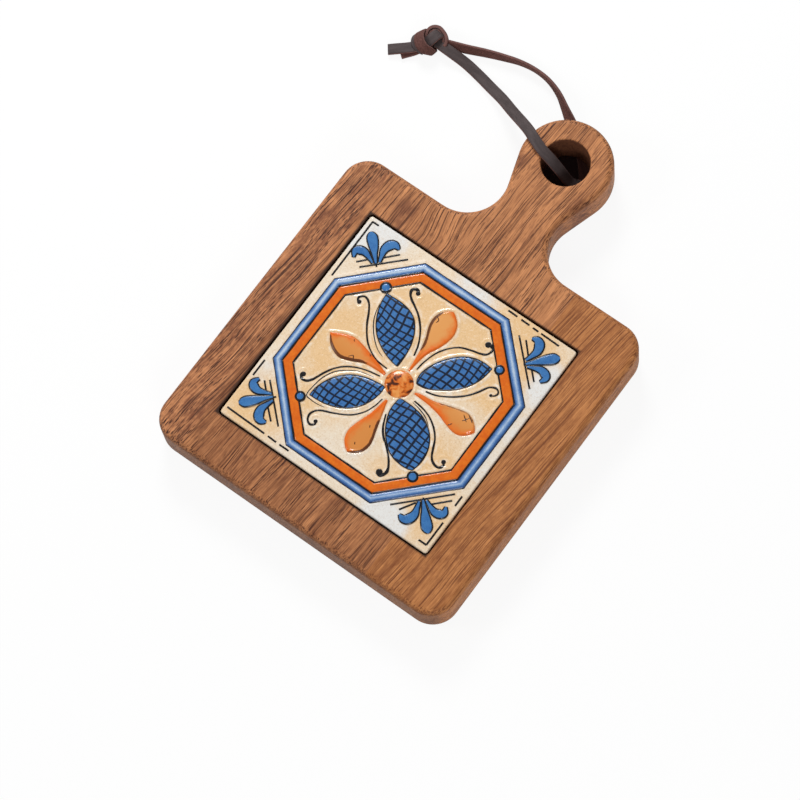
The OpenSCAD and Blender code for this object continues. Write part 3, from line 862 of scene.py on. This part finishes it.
# Places of the tan wash and of the pale clouds: x, y, radius and weight
WASH_ALL_OVER = 0.12
WASH_SPOTS = [
    (-34, 2, 17, 0.95), (-31, -34, 15, 0.5), (2, 33, 22, 0.75), (-17, 30, 14, 0.5), (24, 33, 15, 0.6),
    (-20, -12, 16, 0.5), (36, 22, 14, 0.9), (33, -20, 14, 0.8), (-44, 43, 10, 0.5), (44, 41, 12, 0.7),
    (-46, -44, 13, 0.9), (44, -42, 12, 0.8), (18, -36, 11, 0.45), (0, 0, 20, 0.35), (30, 47, 14, 0.5),
]
PALE_SPOTS = [
    (-42, 53, 14, 0.8), (-53, 40, 8, 0.6), (-50, -28, 12, 0.5), (26, -52, 12, 0.7), (50, -44, 8, 0.25),
    (53, 10, 14, 0.5), (4, -38, 10, 0.3), (-10, -37, 8, 0.25), (2, 53, 16, 0.7), (52, 40, 9, 0.6),
    (-53, 5, 14, 0.4), (-20, -53, 14, 0.4), (53, 30, 9, 0.7), (53, -12, 10, 0.5), (34, -52, 9, 0.7),
]


def make_tile():
    """The tile: the field's height on a square grid, less a quarter circle of EDGE_R at the edge.

    A grid point beyond a corner's middle is pulled in, from a square of that reach to a circle of it. Side
    walls go down to a flat underside. The fields say where the glaze is tan and pale, and where painted
    shade browns the creases and painted highlights whiten the ridges.
    """
    side = np.concatenate([
        EDGE_ROWS - TILE_HALF, np.linspace(FIELD_IN - TILE_HALF, TILE_HALF - FIELD_IN, FIELD_STEPS),
        (TILE_HALF - EDGE_ROWS)[::-1],
    ])
    points = np.stack(np.meshgrid(side, side), -1).reshape(-1, 2)
    inner = TILE_HALF - CORNER_R
    over = np.abs(points) - inner
    pull = over.max(1, keepdims=True) / np.maximum(np.linalg.norm(over, axis=1, keepdims=True), 1e-9)
    at_corner = (over > 0).all(1, keepdims=True)
    plan = np.where(at_corner, np.sign(points) * (inner + over * pull), points)
    from_edge = TILE_HALF - np.abs(points).max(1)
    rolled = EDGE_R - np.sqrt(EDGE_R**2 - np.clip(EDGE_R - from_edge, 0, EDGE_R) ** 2)
    height = ground_height(plan) * np.clip(from_edge / FADE_IN, 0, 1) - rolled
    from_petals, from_drops, ring, outside = surroundings(plan)
    from_scrolls = reach(plan, np.vstack(scroll_curves))
    # Where highlights are painted along the ridges round the motifs
    glow = outside * (
        bell(from_petals, *PETAL_HIGHLIGHT) + bell(from_drops, *DROP_HIGHLIGHT) + bell(from_scrolls, *SCROLL_HIGHLIGHT)
        + bell(ring - BAND_IN, *INNER_HIGHLIGHT) + bell(ring - RIDGE_OUT, *OUTER_HIGHLIGHT)
    )
    fields = {
        "wash": WASH_ALL_OVER + patches(plan, WASH_SPOTS),
        "pale": patches(plan, PALE_SPOTS),
        # painted shade in the creases at the foot of the petals and the drops
        "shade": bell(np.minimum(from_petals, from_drops), *CREASE_SHADE),
        "glow": np.clip(glow, 0, 1),
    }
    ids = grid_ids(len(side), len(side))
    rim = rim_of(ids)
    top = np.column_stack([plan + TILE_AT, TOP + height])
    skirt = top[rim[:-1]]
    skirt[:, 2] = tile_low[2]
    low = len(top) + np.arange(len(rim)) % len(skirt)
    faces = [grid_faces(ids), wall_faces(rim, low), low[None, -2::-1]]
    fields = {key: np.concatenate([value, value[rim[:-1]]]) for key, value in fields.items()}
    make_piece("relief_tile", (np.vstack([top, skirt]), faces, fields), ground_glaze())


def raised_strip(rows, rise, fields=None, closed=False):
    """Points, faces and fields of a raised strip: rows of points across it, each with its rise.

    rows is steps x across x 2 and rise has the same first two sizes. Walls at both sides and both ends
    go down to a floor SKIRT below the field. A closed strip runs from its last row back to its first,
    and has no ends.
    """
    top = on_tile(rows.reshape(-1, 2), rise.ravel())
    low = top.copy()
    low[:, 2] = low[:, 2] - rise.ravel() - SKIRT
    ids = grid_ids(*rise.shape)
    edges = [rim_of(ids)]
    if closed:
        ids = np.vstack([ids, ids[:1]])
        edges = [ids[:, 0], ids[::-1, -1]]
    cells = grid_faces(ids)
    walls = [wall_faces(edge, edge + len(top)) for edge in edges]
    faces = [cells, *walls, cells[:, ::-1] + len(top)]
    doubled = {key: np.tile(np.ravel(values), 2) for key, values in (fields or {}).items()}
    return np.vstack([top, low]), faces, doubled


def gather(parts):
    """Several shapes of points and faces as one."""
    faces, start = [], 0
    for points, blocks, _ in parts:
        faces += [block + start for block in blocks]
        start += len(points)
    return np.vstack([points for points, _, _ in parts]), faces, {}


def stroke(curve, half, rise, across=5):
    """A brush stroke along a curve, its rise less by v^2 * STROKE_CROWN of itself at v across it.

    half is half its width, and half and rise hold for all steps or for each. Both ends run on by
    STROKE_OVER, so that strokes that meet at a point share no edge there.
    """
    d = headings(curve)
    curve = curve.copy()
    curve[0] -= d[0] * STROKE_OVER
    curve[-1] += d[-1] * STROKE_OVER
    aside = np.column_stack([-d[:, 1], d[:, 0]])
    v = np.linspace(-1, 1, across)
    rows = curve[:, None, :] + aside[:, None, :] * (each(half, curve)[:, None, None] * v[None, :, None])
    top = each(rise, curve)[:, None]
    return raised_strip(rows, top - np.minimum(top, LINE_RISE) * STROKE_CROWN * v[None, :] ** 2)


def round_boss(at, radius, height, rings=14, spokes=72, flat=2):
    """A round dome, height * sqrt(1 - (r / radius)^flat) over BOSS_SIDE, with a skirt into the field."""
    r = radius * np.sin(np.linspace(0, math.pi / 2, rings))
    a = np.linspace(0, 2 * math.pi, spokes, endpoint=False)
    plan = np.stack([np.outer(r, np.cos(a)), np.outer(r, np.sin(a))], -1) + np.array(at)
    rise = height * np.sqrt(np.clip(1 - (r / radius) ** flat, 0, 1)) + BOSS_SIDE
    top = on_tile(plan.reshape(-1, 2), np.repeat(rise, spokes))
    rim = top[-spokes:] - (0, 0, SKIRT)
    points = np.vstack([top, rim, [[*(np.array(at) + TILE_AT), TOP - SKIRT]]])
    edge = rings * spokes + np.arange(spokes)
    under = np.column_stack([edge, np.full(spokes, len(points) - 1), np.roll(edge, -1)])
    return points, [tube_faces(rings + 1, spokes), under], {}


def mirrored_corners(curve):
    """The back left corner's curve of x, y and width, mirrored into all four corners."""
    for sx, sy in ((1, 1), (-1, 1), (1, -1), (-1, -1)):
        yield curve * (sx, sy, 1) + (0, FRONT_FLEURS_UP if sy < 0 else 0, 0)


# Pieces of the ornament

def make_ring(name, out, into, height, domed, paint, east):
    """An octagonal band between two out values, mitred at its corners.

    Across it the share domed of its rise goes by (1 - v^2)^0.8, and the rest is flat.
    """
    v = np.linspace(-1, 1, 9)
    rings = []
    for share in (v + 1) / 2:
        sides = octagon_sides(out + (into - out) * share, east[0] + (east[1] - east[0]) * share, 25)
        rings.append(np.vstack([side[:-1] for side in sides]))
    rows = np.stack(rings, 1)
    rise = np.tile(height * ((1 - domed) + domed * (1 - v**2) ** 0.8), (len(rows), 1))
    rise[:, [0, -1]] = RING_SIDE
    fields = {"across": np.tile(v, (len(rows), 1))}
    make_piece(name, raised_strip(rows, rise, fields, closed=True), paint)


def make_petals(paint):
    """Each petal is a domed leaf whose share is the sine, to the power 0.4, of the way along it."""
    for key, petal in petals.items():
        rows, _, v = leaf_rows(petal, 21)
        ends = np.sin(np.linspace(0, math.pi, len(rows)))[:, None] ** 0.4
        make_piece(f"petal_{key}", raised_strip(rows, dome(v, PETAL_SIDE, ends)), paint)


def make_drops(paint):
    """Each drop is domed across its width.

    Its field edge grows towards the right side and where it is narrow; shade lies along its left side,
    within SHADE_RUN from the hub's middle.
    """
    for key, drop in drops.items():
        rows, off, v = leaf_rows(drop, 17)
        spine, _, left, right = drop
        wide = (left + right)[:, None]
        thin = 1 - np.clip(wide / DROP_NARROW, 0, 1)
        edge = np.clip(0.75 * np.clip(0.15 - v, 0, 1) ** 1.5 + thin, 0, 1)
        s = np.linalg.norm(spine - HUB_AT, axis=1)[:, None]
        along = np.clip((s - SHADE_RUN[0]) / 5, 0, 1) * np.clip((SHADE_RUN[1] - s) / 3, 0, 1)
        shade = np.clip((SHADE_WIDE - (left[:, None] - off)) / 1.5, 0, 1) * along * DROPS[key][1]
        fields = {"edge": edge, "shade": shade}
        make_piece(f"drop_{key}", raised_strip(rows, drop_rise(v, wide), fields), paint)


def make_cracks(paint):
    """Fine strokes that lie on the drops' domes."""
    parts = []
    for row in CRACKS:
        curve = smooth_curve(row, 8)
        rise = np.zeros(len(curve))
        for drop in drops.values():
            v, wide, inside = in_leaf(curve, *drop)
            rise = np.where(inside, drop_rise(np.clip(v, -1, 1), wide), rise)
        half = CRACK_WIDTH / 2 * (0.4 + 0.6 * np.sin(np.linspace(0.2, math.pi - 0.2, len(curve))))
        parts.append(stroke(curve, half, rise + CRACK_RISE, 3))
    make_piece("drop_cracks", gather(parts), paint)


def make_bosses(ink, blue):
    """The hub, and the four dots, each on a slightly larger dark disc."""
    make_piece("hub", round_boss(HUB_AT, HUB_R, HUB_RISE, 24, 96), hub_glaze())
    under = [round_boss((x, y), r + OUTLINE, DOT_OUTLINE_RISE, flat=24) for x, y, r in DOTS]
    make_piece("dot_outlines", gather(under), ink)
    make_piece("dots", gather([round_boss((x, y), r, DOT_RISE) for x, y, r in DOTS]), blue)


def make_lines(ink):
    """All the painted lines, as low domed strokes: scrolls, hairlines, border and ring lines."""
    scrolls = []
    for curve, (start, middle, curl) in zip(scroll_curves, SCROLL_WIDTHS):
        t = np.linspace(0, 1, len(curve))
        half = np.interp(t, (0, 0.45, 0.8, 1), (start, middle, curl, curl * 0.8)) / 2
        scrolls.append(stroke(curve, half * (1 + 0.08 * np.sin(t * 31)), LINE_RISE))
    scrolls += [round_boss((x, y), radius, LINE_RISE, 8, 28, 8) for x, y, radius in BLOBS]
    hairs = [stroke(rim, PETAL_LINE / 2, PETAL_LINE_RISE, 3) for rim in petal_rims]
    for curve in (smooth_curve(points, 8) for points in HAIRLINES):
        swell = 0.3 + 0.7 * np.sin(np.linspace(0, math.pi, len(curve)))
        hairs.append(stroke(curve, HAIRLINE_WIDTH / 2 * swell, HAIRLINE_RISE, 3))
    borders = [
        stroke(straight(a, b, 24), BORDER_WIDTH / 2, LINE_RISE) for a, b in BORDER_LINES + CORNER_LINES
    ]
    rings = []
    for out, width, east, rise in RING_LINES:
        for i, line in enumerate(octagon_sides(out, east, 40)):
            rings.append(stroke(line, width / 2 * (1 + 0.25 * waves(line, 9, 11 + i)), rise))
    make_piece("scroll_lines", gather(scrolls), ink)
    make_piece("hairlines", gather(hairs), ink)
    make_piece("border_lines", gather(borders), ink)
    make_piece("ring_lines", gather(rings), ink)


def make_fleurs(ink, blue):
    """Three tapering strokes in each corner, blue on a slightly wider dark one."""
    outlines, leaves = [], []
    for spine in FLEUR:
        for image in mirrored_corners(smooth_curve(spine, 9)):
            half = np.maximum(image[:, 2], 0.05)
            outlines.append(stroke(image[:, :2], half + OUTLINE, FLEUR_OUTLINE_RISE, 7))
            leaves.append(stroke(image[:, :2], half, FLEUR_RISE, 9))
    make_piece("fleur_outlines", gather(outlines), ink)
    make_piece("fleurs", gather(leaves), blue)


# Felt pads

# The soft edge's reach in from the rim, the rim's unevenness as a share, and the steps round it
PAD_SOFT, PAD_WEAR, PAD_SPOKES = 0.35, 0.012, 72


def felt():
    """Brown felt: fuzz over small tufts."""
    paint = Paint("felt")
    fuzz = paint.noise(paint.place(2.4), 5, 0.7)
    tufts = paint.cells(paint.place(1.6))
    return paint.set(
        Base_Color=paint.mix(fuzz, linear(58, 44, 34), linear(92, 74, 58)), Roughness=0.95,
        Normal=paint.bump(fuzz + tufts * 0.5, 0.3, 0.8), Sheen_Weight=0.3, Sheen_Roughness=0.5,
    )


def make_pad(node, paint):
    """A felt disc: a profile with half-round edges, turned about the middle, its rim uneven by sine waves."""
    low, high = box_mm(node)
    middle, radius, thick = (low + high) / 2, (high[0] - low[0]) / 2, high[2] - low[2]
    flat_r = radius - PAD_SOFT
    bend = np.linspace(-math.pi / 2, math.pi / 2, 9)
    profile = np.vstack([
        np.column_stack([np.linspace(0, flat_r, 8), np.full(8, -thick / 2)])[:-1],
        np.column_stack([flat_r + PAD_SOFT * np.cos(bend), np.sin(bend) * thick / 2]),
        np.column_stack([np.linspace(flat_r, 0, 8), np.full(8, thick / 2)])[1:],
    ])
    a = np.linspace(0, 2 * math.pi, PAD_SPOKES, endpoint=False)
    uneven = 1 - PAD_WEAR * (1 + np.sin(7 * a + middle[0]) * np.sin(3 * a) + 0.5 * np.sin(17 * a))
    out = profile[:, :1] * uneven
    height = np.repeat(middle[2] + profile[:, 1:], PAD_SPOKES, 1)
    points = np.stack([middle[0] + out * np.cos(a), middle[1] + out * np.sin(a), height], -1).reshape(-1, 3)
    shape = points, [tube_faces(len(profile), PAD_SPOKES)], {}
    make_piece(f"felt_{node}", shape, paint, node)


# Leather lace

# Width, thickness, the edges' rounding, and how much thinner it is at the edges, as a share; then the
# steps between two places of a route
LACE_W, LACE_T, LACE_BEVEL, LACE_CROWN = 5.0, 1.4, 0.22, 0.12
LACE_STEPS = 8
# Routes of the lace's middle line: x, y, z, and how far its left edge is tilted up
FRONT_ROUTE = [
    (-84, 107.4, 4.8, 0), (-76, 107.4, 3.6, 0), (-68, 107.4, 1.8, 0), (-60, 106.2, 1.1, 0),
    (-52, 104.2, 2, 0), (-44, 101.7, 5, 0), (-35.5, 97.8, 10.5, 0), (-27, 93.9, 17, 0),
    (-21.5, 91.2, 21.1, 0), (-17, 89, 22.1, 0), (-11.4, 86.8, 22, 0), (-6.5, 86, 20.2, 0),
    (-2.5, 85.8, 16, 0), (1.2, 85.9, 10.2, 0), (3.4, 86.3, 6.7, 0), (5.5, 87.1, 5.1, 0),
]
BACK_ROUTE = [
    (6.7, 92.2, 1.1, 0), (3.9, 95.8, 1.1, 0), (0.5, 99.6, 1, 0), (-4, 103.9, 1, 0),
    (-9.5, 108, 1.1, -2), (-14.2, 111, 2, -32), (-19.2, 114.2, 2.7, -60), (-26, 118.5, 2.8, -78),
    (-33.5, 121.2, 2.8, -89), (-41, 121.9, 2.8, -94), (-48.4, 121, 2.8, -91), (-55.8, 118.8, 2.8, -82),
    (-63.4, 116.1, 2.8, -73), (-71, 113, 2.8, -66), (-78, 110.4, 2.8, -60), (-84, 108.2, 2.7, -55),
]
FRONT_TAIL_ROUTE = [(-88.5, 103, 3.2, 0), (-93, 98.8, 2.7, 0), (-97, 95.9, 1.9, 0), (-100.4, 93.3, 1.4, 0)]
BACK_TAIL_ROUTE = [(-88.1, 103.6, 2, 0), (-91, 99.6, 1.1, 0), (-93.2, 96.9, 1, 0), (-94.8, 94.9, 1, 0)]
# The fold under the head: its radius, how many steps it has, and the strand's headings into and out of it
FOLD_START, FOLD_R, FOLD_STEPS = np.array(FRONT_ROUTE[-1][:3]), 2.0, 24
FOLD_IN, FOLD_OUT = 27, 127
UP = np.array([0.0, 0.0, 1.0])


def unit(v):
    """Each row of v, 1 long."""
    return v / np.linalg.norm(v, axis=-1, keepdims=True)


def lace_section():
    """The lace cut across: x over its width and y through it, a little crowned, its edges rounded.

    The third number is the side: 1 on the grain side, 0 on the flesh side, 0.5 at the cut edges.
    """
    half_w, half_t = LACE_W / 2, LACE_T / 2
    edge_t = half_t - 1.4 * LACE_BEVEL
    x = np.linspace(LACE_BEVEL - half_w, half_w - LACE_BEVEL, 9)
    crown = half_t * (1 - LACE_CROWN * (x / half_w) ** 2)
    top = np.column_stack([x, crown, np.ones(9)])
    edge = np.array([[half_w, edge_t, 0.5], [half_w, -edge_t, 0.5]])
    under = np.column_stack([x[::-1], -crown[::-1], np.zeros(9)])
    return np.vstack([top, edge, under, edge[::-1] * (-1, 1, 1)])


SECTION = lace_section()


def ribbon_rings(route):
    """Frames along a route: places, directions across the width and through the thickness.

    The width lies level, square to the heading, and is then turned about the heading by the tilt.
    """
    curve = smooth_curve(route, LACE_STEPS)
    at = curve[:, :3]
    heading = headings(at)
    left = unit(np.cross(UP, heading))
    tilt = np.radians(curve[:, 3:4])
    across = left * np.cos(tilt) + np.cross(heading, left) * np.sin(tilt)
    return at, across, np.cross(heading, across)


def fold_rings():
    """Frames of half a turn round an axis aslant to the lace, by which it goes back under the head."""
    turn = math.radians((FOLD_IN + FOLD_OUT) / 2)
    slant = turn - math.radians(FOLD_IN)
    axis = np.array([math.cos(turn), math.sin(turn), 0])
    side = np.array([math.sin(turn), -math.cos(turn), 0])
    advance = math.pi * FOLD_R / math.tan(slant)
    a = np.linspace(0, math.pi, FOLD_STEPS + 1)[1:, None]
    outward = side * np.sin(a) + UP * np.cos(a)
    onward = side * np.cos(a) - UP * np.sin(a)
    heading = onward * math.sin(slant) + axis * math.cos(slant)
    at = FOLD_START - UP * FOLD_R + FOLD_R * outward + axis * advance * a / math.pi
    return at, np.cross(outward, heading), outward


def turned_over(at, across, through):
    """The same frames with the lace's other side up."""
    return at, -across, -through


def swept_lace(at, across, through, width=1.0, thick=1.0):
    """The lace's section carried along frames, closed at both ends by a flat cut.

    width and thick scale it, for all frames or for each. The fields are the side, and the place across
    and along the lace in millimetres.
    """
    w, t = each(width, at)[:, None, None], each(thick, at)[:, None, None]
    body = (
        at[:, None, :] + across[:, None, :] * SECTION[None, :, :1] * w
        + through[:, None, :] * SECTION[None, :, 1:2] * t
    )
    length = np.concatenate([[0], np.cumsum(np.linalg.norm(np.diff(at, axis=0), axis=1))])
    fields = {
        "side": np.tile(SECTION[:, 2], len(at)),
        "run": np.repeat(length, len(SECTION)),
        "across": np.tile(SECTION[:, 0], len(at)),
    }
    ids = grid_ids(len(at), len(SECTION))
    return body.reshape(-1, 3), [tube_faces(*ids.shape), ids[:1, ::-1], ids[-1:]], fields


def leather():
    """Smooth grey-brown grain on one side, reddish nap on the other, a paler raw line at the cut edges."""
    paint = Paint("leather")
    side, run, across = (paint.attribute(name) for name in ("side", "run", "across"))
    place = paint.node("ShaderNodeCombineXYZ", {}, (across, run, side))

    def grain(over, along):
        return paint.scaled(place, (over, along, 3.0))

    cloud = paint.noise(grain(0.5, 0.12), 4, 0.6)
    pebble = paint.cells(grain(3.4, 2.6))
    nap = paint.noise(grain(5.0, 1.3), 4, 0.7)
    rub = paint.noise(grain(1.4, 0.25), 3, 0.65)
    on_grain = side.step(0.55, 0.95)
    smooth = paint.mix(cloud.step(0.3, 0.75), linear(64, 54, 54), linear(80, 69, 69))
    smooth = paint.mix(rub.step(0.6, 0.85) * 0.25, smooth, linear(96, 84, 82))
    rough = paint.mix((nap * 0.7 + cloud * 0.3).step(0.3, 0.7), linear(58, 34, 30), linear(118, 78, 71))
    raw = (side - 0.5).math("ABSOLUTE").step(0.34, 0.05)
    return paint.set(
        Base_Color=paint.mix(raw * 0.45, paint.mix(on_grain, rough, smooth), linear(128, 94, 89)),
        Roughness=0.9 - 0.22 * on_grain, Specular_IOR_Level=0.3,
        Normal=paint.bump(paint.mix(on_grain, nap, pebble * 0.5 + cloud * 0.3), 0.14, 0.5),
    )


def make_strand(name, frames, paint):
    """One stretch of the lace, which stands for the CAD node of its name."""
    return make_piece(f"flat_{name}", swept_lace(*frames), paint, name, "lace")


def make_lace():
    """Both strands, the knot and the two tails; each strand ends in the knot."""
    paint = leather()
    front = [np.vstack(pair) for pair in zip(ribbon_rings(FRONT_ROUTE), fold_rings())]
    back = turned_over(*ribbon_rings(BACK_ROUTE))
    front_strand = make_strand("lace_front_strand", front, paint)
    back_strand = make_strand("lace_back_strand", back, paint)
    front_tail = make_strand("lace_front_tail", ribbon_rings(FRONT_TAIL_ROUTE), paint)
    back_tail_frames = turned_over(*ribbon_rings(BACK_TAIL_ROUTE))
    back_tail = make_strand("lace_back_tail", back_tail_frames, paint)
    knot = make_knot(paint)
    front_path, back_path = front[0][::-1] * MM, back[0] * MM


# The knot's turns: places of the lace's middle, and the wrap's width as a share of the lace's
WRAP = [
    (-90.8, 108.8, 2.4), (-91.9, 108.0, 4.6), (-91.9, 106.1, 6.3), (-90.8, 103.9, 7.1), (-88.6, 101.9, 7.3),
    (-85.9, 101.0, 6.9), (-83.8, 101.7, 5.7), (-82.5, 102.6, 4.0), (-83.0, 103.9, 2.0), (-85.6, 104.6, 1.0),
]
WRAP_WIDTHS = (0.7, 0.85, 1.0, 1.08, 1.08, 1.0, 0.85, 0.65, 0.6, 0.7)
BIGHT = [
    (-88.6, 105.6, 3.4), (-89.6, 107.5, 3.7), (-90.0, 109.1, 3.7), (-89.7, 111.1, 3.7), (-88.5, 112.6, 3.7),
    (-86.5, 113.3, 3.7), (-84.2, 112.8, 3.7), (-82.0, 111.8, 3.7), (-80.7, 110.6, 3.6), (-80.2, 109.4, 3.1),
    (-80.3, 108.3, 2.7),
]
# What the bights bend round, and how the inner one lies from the outer: further in, and lower
BIGHT_MIDDLE = (-85.8, 109.0)
INNER_GAP, INNER_DROP = 1.45, 0.5
BRIDGE = [
    (-84.9, 112.0, 3.2), (-84.9, 111.2, 5.2), (-85.1, 110.0, 6.6), (-85.4, 108.2, 7.3), (-85.9, 106.2, 7.0),
    (-86.6, 104.6, 6.0), (-87.2, 103.4, 4.8),
]
FOLD = [
    (-93.0, 107.0, 3.2), (-93.1, 104.8, 4.4), (-92.1, 102.5, 5.0), (-90.2, 101.2, 5.0), (-88.0, 100.9, 4.2),
    (-86.2, 101.6, 3.0),
]
CORE = [(-91.6, 108.4, 2.5), (-89.0, 106.7, 2.6), (-86.2, 104.8, 2.6), (-83.4, 103.0, 2.5)]


def make_knot(paint):
    """The overhand knot: two bights on edge, a band round both strands, a bridge, a fold and the core."""
    pieces = []

    def turn_of(name, at, face_from, width=1.0, flip=False, thick=1.0):
        """A ribbon whose grain side looks away from the point face_from, or towards it if flipped."""
        heading = headings(at)
        outward = at - np.array(face_from)
        outward -= heading * (outward * heading).sum(1, keepdims=True)
        through = unit(outward) * (-1 if flip else 1)
        shape = swept_lace(at, np.cross(heading, through), through, width, thick)
        pieces.append(make_piece(name, shape, paint, "lace_knot", "lace"))

    outer = smooth_curve(BIGHT, LACE_STEPS)
    inward = unit(np.array([*BIGHT_MIDDLE, 0.0]) - outer * (1, 1, 0))
    inner = (outer + INNER_GAP * inward - (0, 0, INNER_DROP))[6:-6]
    wrap = smooth_curve(np.column_stack([WRAP, WRAP_WIDTHS]), LACE_STEPS)
    bridge, fold, core = (smooth_curve(route, LACE_STEPS) for route in (BRIDGE, FOLD, CORE))
    turn_of("knot_bight", outer, (*BIGHT_MIDDLE, 3.7), flip=True, thick=1.3)
    turn_of("knot_inner_bight", inner, (*BIGHT_MIDDLE, 3.2))
    turn_of("knot_wrap", wrap[:, :3], (-87.4, 105.6, 2.5), wrap[:, 3], flip=True)
    turn_of("knot_bridge", bridge, (-85.6, 107.4, -6.0))
    turn_of("knot_fold", fold, (-88.6, 104.6, 1.2), 0.95)
    turn_of("knot_core", core, (-87.5, 105.6, -20.0), flip=True)
    return pieces


# Floor and light

FLOOR_SIZE, FLOOR_DROP = 8.0, 0.0002


def make_floor():
    """A white floor that the camera sees as nearly white, and that keeps a faint shadow.

    Below the hanging hole it is painted dark, a painted shadow where only a deep shadow is to be seen.
    """
    bpy.ops.mesh.primitive_plane_add(size=FLOOR_SIZE, location=(0, 0, -FLOOR_DROP))
    floor = bpy.context.active_object
    floor.name = "floor"
    paint = Paint("floor")
    x, y, _ = paint.axes(paint.place())
    # Painted shadow: the floor below the hole is dark, and there the camera sees it without the white
    painted_hole_shadow = distance(x, y, HOLE_AT_MM).step(HOLE_R_MM + 6, HOLE_R_MM + 2)
    colour = paint.mix(painted_hole_shadow, linear(250, 250, 250), linear(58, 43, 43))
    paint.set(Base_Color=colour, Roughness=0.9, Specular_IOR_Level=0.1)
    rays = paint.node("ShaderNodeLightPath").out.node
    seen, glossy, through = (
        Sock(paint, rays.outputs[key]) for key in ("Is Camera Ray", "Is Glossy Ray", "Is Transmission Ray")
    )
    white = paint.node("ShaderNodeEmission", {}, {"Color": (1, 1, 1, 1), "Strength": 1.0})
    share = seen.math("MAXIMUM", glossy).math("MAXIMUM", through) * 0.9 * (1.0 - painted_hole_shadow)
    own = Sock(paint, paint.shader.outputs[0])
    mixed = paint.node("ShaderNodeMixShader", {}, (share, own, white))
    paint.feed(paint.tree.nodes["Material Output"].inputs["Surface"], mixed)
    floor.data.materials.append(paint.material)


def make_light():
    """A dim white world and the three softboxes."""
    world = bpy.data.worlds.new("world")
    world.use_nodes = True
    light = world.node_tree.nodes["Background"]
    light.inputs["Color"].default_value = (1, 1, 1, 1)
    light.inputs["Strength"].default_value = WORLD_STRENGTH
    bpy.context.scene.world = world
    for name, (place, size, power) in LAMPS.items():
        make_lamp(name, place, size, power)


# The CAD meshes that stay in sight

def adhesive():
    """Pale lumpy cement."""
    paint = Paint("adhesive")
    lumps = paint.noise(paint.place(0.4), 4, 0.6)
    return paint.set(
        Base_Color=paint.mix(lumps, linear(206, 200, 188), linear(228, 222, 210)), Roughness=0.85,
        Normal=paint.bump(lumps, 0.3, 0.6),
    )


def dress(node, paint):
    """Gives a CAD node's object the material in every slot."""
    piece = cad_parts[node]
    if not piece.material_slots:
        piece.data.materials.append(paint.material)
    for slot in piece.material_slots:
        slot.material = paint.material


def dress_board():
    """The three staves' woods, and the adhesive under the tile."""
    dress("left_stave", wood(
        "dark_wood", linear(212, 144, 96), linear(122, 70, 44), linear(66, 36, 26),
        ticks=0.9, mottle=0.7, blotch=0.45, lift=(0.1, 0.14),
    ))
    dress("centre_stave", wood(
        "wood", linear(212, 144, 94), linear(126, 75, 45), linear(80, 43, 27),
        ticks=0.5, mottle=0.3, blotch=0.25, lift=(-0.1, 0.1), stains=WOOD_STAINS,
    ))
    dress("right_stave", wood(
        "golden_wood", linear(208, 140, 84), linear(134, 76, 38), linear(122, 70, 38),
        ticks=0.4, mottle=0.45, blotch=0.2, lift=(-0.02, 0.06),
    ))
    dress("tile_bed", adhesive())


bpy.context.scene.view_settings.view_transform = "Standard"
make_camera()
make_lace()
dress_board()
make_tile()
ink, blue = ink_glaze(), blue_glaze()
make_ring("frame_ridge", RIDGE_OUT, RIDGE_IN, RELIEF, 0.8, ridge_glaze(), EAST)
make_ring("orange_band", BAND_OUT, BAND_IN, RELIEF / 2, 0.1, band_glaze(), (EAST[1], 0.0))
make_petals(hatched_glaze())
make_drops(drop_glaze())
make_cracks(crack_glaze())
make_bosses(ink, blue)
make_lines(ink)
make_fleurs(ink, blue)
pad_felt = felt()
for pad in ("pad_front_left", "pad_front_right", "pad_back_left", "pad_back_right"):
    make_pad(pad, pad_felt)
make_floor()
make_light()
